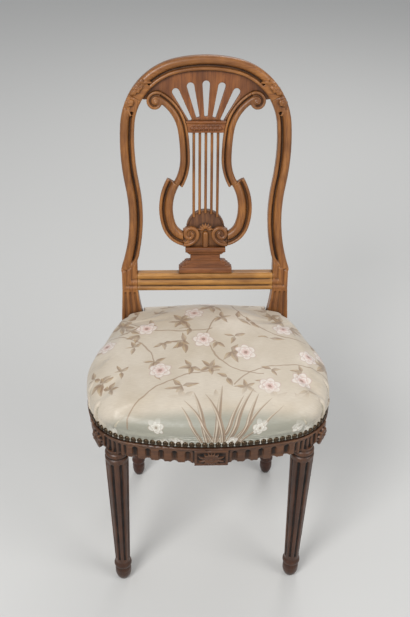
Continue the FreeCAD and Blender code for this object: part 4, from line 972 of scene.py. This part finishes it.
    def reeds(base):
        """Striped blades that rise side by side near the front and lean apart."""
        made = base
        rise = t.minus(up, -0.276)
        for foot, lean, curve, length, half in (
                (-0.034, -0.30, -1.6, 0.075, 0.0040), (-0.022, -0.10, -0.8, 0.110, 0.0048),
                (-0.010, -0.34, -2.6, 0.090, 0.0040), (-0.004, 0.05, 0.5, 0.125, 0.0052),
                (0.006, 0.30, 1.2, 0.100, 0.0044), (0.012, -0.12, -2.0, 0.105, 0.0048),
                (0.022, 0.16, 1.9, 0.118, 0.0050), (0.030, 0.42, 3.4, 0.095, 0.0042),
                (0.040, 0.24, 0.9, 0.105, 0.0046), (0.048, 0.55, 4.6, 0.080, 0.0036)):
            bent = t.math("ADD", t.times(rise, lean),
                          t.times(t.times(rise, rise), curve))
            aside = t.minus(t.minus(across, REED_ROOT + foot), bent)
            share = t.math("DIVIDE", rise, length)
            taper = t.math("SQRT", t.math("MAXIMUM", t.minus(1.0, share), 0.0))
            wide = t.times(taper, half * 1.35)
            blade = t.ramp(t.minus(wide, t.math("ABSOLUTE", aside)), 0.0, 0.0008)
            blade = t.times(blade, t.math("GREATER_THAN", share, 0.0))
            stripe = t.ramp(t.math("SINE", t.math("DIVIDE", aside, half * 0.16)), -0.4, 0.6)
            shade = t.mix(t.ramp(aside, -half, half), colour(210, 198, 178), taupe)
            shade = t.mix(t.times(stripe, t.ramp(share, 0.2, 1.0, 0.85, 0.25)), shade, umber)
            made = t.mix(t.times(blade, 0.85), made, shade)
        return made

    def water(base):
        """Pale and dark ripples along the front drop."""
        wave = t.noise(t.vector("MULTIPLY", cloth, (1.0, 5.0, 1.0)), 34.0)
        line = t.math("SINE", t.math("ADD", t.times(up, 1250.0), t.times(wave, 5.0)))
        band = t.times(t.ramp(up, -0.270, -0.250, 1.0, 0.0), t.ramp(wave, 0.40, 0.54))
        made = t.mix(t.times(t.times(band, t.ramp(line, 0.3, 0.9)), 0.7), base, white)
        dark = t.times(t.times(band, t.ramp(line, -0.3, -0.9)), 0.55)
        return t.mix(dark, made, colour(126, 134, 126))

    tone = water(tone)
    tone = boughs(tone)
    tone = sprays(tone, 12.5, (0.0, 0.0, 0.0), 6, 0.034, 0.0062, 0.6)
    tone = sprays(tone, 17.0, (0.31, 0.17, 0.0), 5, 0.025, 0.0048, 0.55)
    tone = blossoms(tone, upper, 11.5, (0.12, 0.43, 0.0), 6, 0.0215, 0.75, rose, colour(176, 136, 126))
    tone = reeds(tone)
    beside = t.ramp(t.math("ABSOLUTE", t.minus(across, REED_ROOT)), 0.05, 0.06)
    front = t.times(t.ramp(up, -0.24, -0.215, 1.0, 0.0), beside)
    tone = blossoms(tone, front, 20.0, (0.07, 0.21, 0.0), 6, 0.0165, 0.7, pearl, taupe)
    low = t.ramp(up, -0.268, -0.258, 1.0, 0.0)
    tone = blossoms(tone, low, 26.0, (0.4, 0.1, 0.0), 5, 0.0135, 0.6, pearl, umber)

    weave = t.noise(t.vector("MULTIPLY", cloth, (1.0, 0.16, 1.0)), 2600.0, 1.0)
    slub = t.noise(t.vector("MULTIPLY", cloth, (0.12, 1.0, 1.0)), 700.0, 2.0)
    tone = t.mix(t.ramp(slub, 0.3, 0.7, 0.0, 0.1), tone, umber)
    t.set(Base_Color=tone, Roughness=t.ramp(slub, 0.3, 0.7, 0.36, 0.5))
    t.set(Sheen_Weight=0.25, Sheen_Roughness=0.4, Specular_IOR_Level=0.45, Anisotropic=0.3)
    crumple = t.bump(t.noise(cloth, 38.0, 3.0, 0.55, 0.8), 0.0022, 0.35)
    t.set(Normal=t.bump(t.math("ADD", weave, slub), 0.00018, 0.5, crumple))
    return t.material


def make_cover(places):
    """Silk cover, swelled by its stuffing and drawn in at the nails."""
    piece = cover_mesh()
    inflate(piece)
    swell(piece)
    modify(piece, "SUBSURF", levels=2)
    applied(piece)
    pinch_hem(piece, places)
    pleats(piece)
    modify(piece, "SOLIDIFY", thickness=COVER_THICKNESS, offset=-1.0)
    applied(piece)
    dress(piece, silk())
    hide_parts("seat_cover")


# Nails
def bronze():
    """Dark bronze, rubbed brighter on its crowns."""
    t = Tree("nail_bronze")
    place = t.place()
    patina = t.noise(place, 420.0, 3.0, 0.6)
    tone = t.mix(t.ramp(patina, 0.35, 0.68), colour(36, 30, 25), colour(72, 57, 41))
    point = t.node("NewGeometry").outputs["Pointiness"]
    tone = t.mix(t.ramp(point, 0.5, 0.62, 0.0, 0.3), tone, colour(160, 128, 84))
    t.set(Base_Color=tone, Roughness=t.ramp(patina, 0.3, 0.7, 0.22, 0.42))
    t.set(Metallic=0.75)
    t.set(Normal=t.bump(t.noise(place, 900.0, 2.0), 0.0003, 0.4))
    return t.material


def make_nails(places):
    """Domed heads with a turned rim, one per nail, joined in one mesh."""
    vertices = []
    faces = []
    rows = len(NAIL_RINGS)
    for foot, out in places:
        matrix = frame_on(foot, Vector((0, 0, 1)), out)
        first = len(vertices)
        for reach, level in NAIL_RINGS:
            for spoke in range(NAIL_SPOKES):
                angle = 2 * math.pi * spoke / NAIL_SPOKES
                point = Vector((reach * math.cos(angle), reach * math.sin(angle), level))
                vertices.append(matrix @ point)
        vertices.append(matrix @ Vector((0, 0, NAIL_CROWN)))
        for row in range(rows - 1):
            low = first + row * NAIL_SPOKES
            high = low + NAIL_SPOKES
            for spoke in range(NAIL_SPOKES):
                following = (spoke + 1) % NAIL_SPOKES
                faces.append((low + spoke, low + following, high + following, high + spoke))
        last = first + (rows - 1) * NAIL_SPOKES
        for spoke in range(NAIL_SPOKES):
            faces.append((last + spoke, last + (spoke + 1) % NAIL_SPOKES, len(vertices) - 1))
        faces.append(tuple(first + spoke for spoke in reversed(range(NAIL_SPOKES))))
    piece = mesh_object("nail_heads", vertices, faces)
    dress(piece, bronze())
    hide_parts("upholstery_nails")


# Hidden parts
def woven(name, first, second, thread):
    """Plain weave in two shades."""
    t = Tree(name)
    x, y, _ = t.split(t.place())
    turns = 2 * math.pi / thread
    over = t.math("SINE", t.times(x, turns))
    under = t.math("SINE", t.times(y, turns))
    weave = t.times(over, under)
    shade = t.noise(t.place(), 90.0, 3.0)
    tone = t.mix(t.ramp(weave, -0.4, 0.4), first, second)
    tone = t.mix(t.ramp(shade, 0.3, 0.7, 0.0, 0.3), tone, colour(90, 72, 48))
    t.set(Base_Color=tone, Roughness=0.9)
    t.set(Normal=t.bump(weave, 0.0004, 0.6))
    return t.material


def steel():
    """Dull steel of the hidden screws."""
    t = Tree("screw_steel")
    scratch = t.noise(t.place(), 1500.0, 2.0)
    t.set(Base_Color=t.mix(scratch, colour(120, 118, 114), colour(160, 158, 152)), Metallic=0.9)
    t.set(Roughness=t.ramp(scratch, 0.3, 0.7, 0.35, 0.55))
    return t.material


def paint_node(name, material):
    """Give a solid part its material, as it is."""
    mesh = nodes[name].data
    mesh.materials.clear()
    mesh.materials.append(material)


def make_pad():
    """Stuffing under the cover, drawn in a little so that the silk lies clear of it."""
    pad = linked("seat_pad", nodes["seat_stuffing"].data.copy())
    modify(pad, "REMESH", mode="VOXEL", voxel_size=0.004)
    modify(pad, "DISPLACE", strength=-PAD_DEPTH, mid_level=0.0)
    modify(pad, "SMOOTH", factor=0.5, iterations=6)
    applied(pad)
    dress(pad, woven("calico", colour(196, 186, 164), colour(210, 202, 182), 0.001))
    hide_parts("seat_stuffing")


def make_hidden():
    """Looks of all that the cover and the rails hide."""
    # Its last colour is the painted shade in recesses.
    bare = wood("wood_bare", DEEP, colour(190, 150, 105), colour(165, 125, 84), colour(132, 98, 64),
                colour(70, 48, 30))
    for name, _ in SIDES:
        paint_node("corner_block_front_" + name, bare)
        paint_node("corner_block_rear_" + name, bare)
    paint_node("joint_pegs", bare)
    paint_node("lyre_dowels", bare)
    paint_node("corner_block_screws", steel())
    jute = woven("jute_web", colour(150, 126, 86), colour(176, 152, 108), 0.003)
    paint_node("webbing_crosswise", jute)
    paint_node("webbing_lengthwise", jute)
    paint_node("hessian", woven("hessian", colour(148, 120, 80), colour(180, 152, 108), 0.0022))
    make_pad()


# Floor, light and camera
def make_stage():
    """Plain pale floor, even sky and three soft lamps."""
    corners = [(x * FLOOR_REACH, y * FLOOR_REACH, 0) for x, y in ((-1, -1), (1, -1), (1, 1), (-1, 1))]
    floor = mesh_object("floor", corners, [(0, 1, 2, 3)])
    t = Tree("floor_plain")
    t.set(Base_Color=colour(205, 204, 201), Roughness=0.8, Specular_IOR_Level=0.2)
    floor.data.materials.append(t.material)
    world = bpy.data.worlds.new("studio")
    bpy.context.scene.world = world
    world.use_nodes = True
    sky = world.node_tree.nodes["Background"]
    sky.inputs["Color"].default_value = (0.8, 0.82, 0.85, 1.0)
    sky.inputs["Strength"].default_value = 0.55
    for name, place, width, power in LAMPS:
        lamp = bpy.data.lights.new(name, "AREA")
        configure(lamp, shape="DISK", size=width, energy=power)
        holder = linked(name, lamp)
        holder.location = place
        aim = Vector((0.0, 0.0, 0.5)) - Vector(place)
        holder.rotation_euler = aim.to_track_quat("-Z", "Y").to_euler()


def make_camera():
    """Camera fitted to the photograph: turned, pitched down and slightly rolled."""
    camera = bpy.data.cameras.new("camera")
    camera.sensor_fit = "VERTICAL"
    camera.sensor_height = SENSOR_HEIGHT
    camera.lens = CAMERA_FOCAL_PIXELS * SENSOR_HEIGHT / IMAGE_HEIGHT
    flat = Vector((-math.sin(CAMERA_YAW), math.cos(CAMERA_YAW), 0))
    forward = flat * math.cos(CAMERA_PITCH) - Vector((0, 0, math.sin(CAMERA_PITCH)))
    up = flat * math.sin(CAMERA_PITCH) + Vector((0, 0, math.cos(CAMERA_PITCH)))
    right = Vector((math.cos(CAMERA_YAW), math.sin(CAMERA_YAW), 0))
    rolled_right = right * math.cos(CAMERA_ROLL) + up * math.sin(CAMERA_ROLL)
    rolled_up = up * math.cos(CAMERA_ROLL) - right * math.sin(CAMERA_ROLL)
    turn = Matrix((rolled_right, rolled_up, -forward)).transposed().to_4x4()
    holder = linked("camera", camera)
    holder.matrix_world = Matrix.Translation(CAMERA_PLACE) @ turn
    bpy.context.scene.camera = holder


make_camera()
make_stage()
for node, (material, voxel) in WOODEN.items():
    carved_piece(node, material, voxel)
nails = nail_places()
make_cover(nails)
make_nails(nails)
make_hidden()
bpy.context.scene.view_settings.view_transform = "Standard"
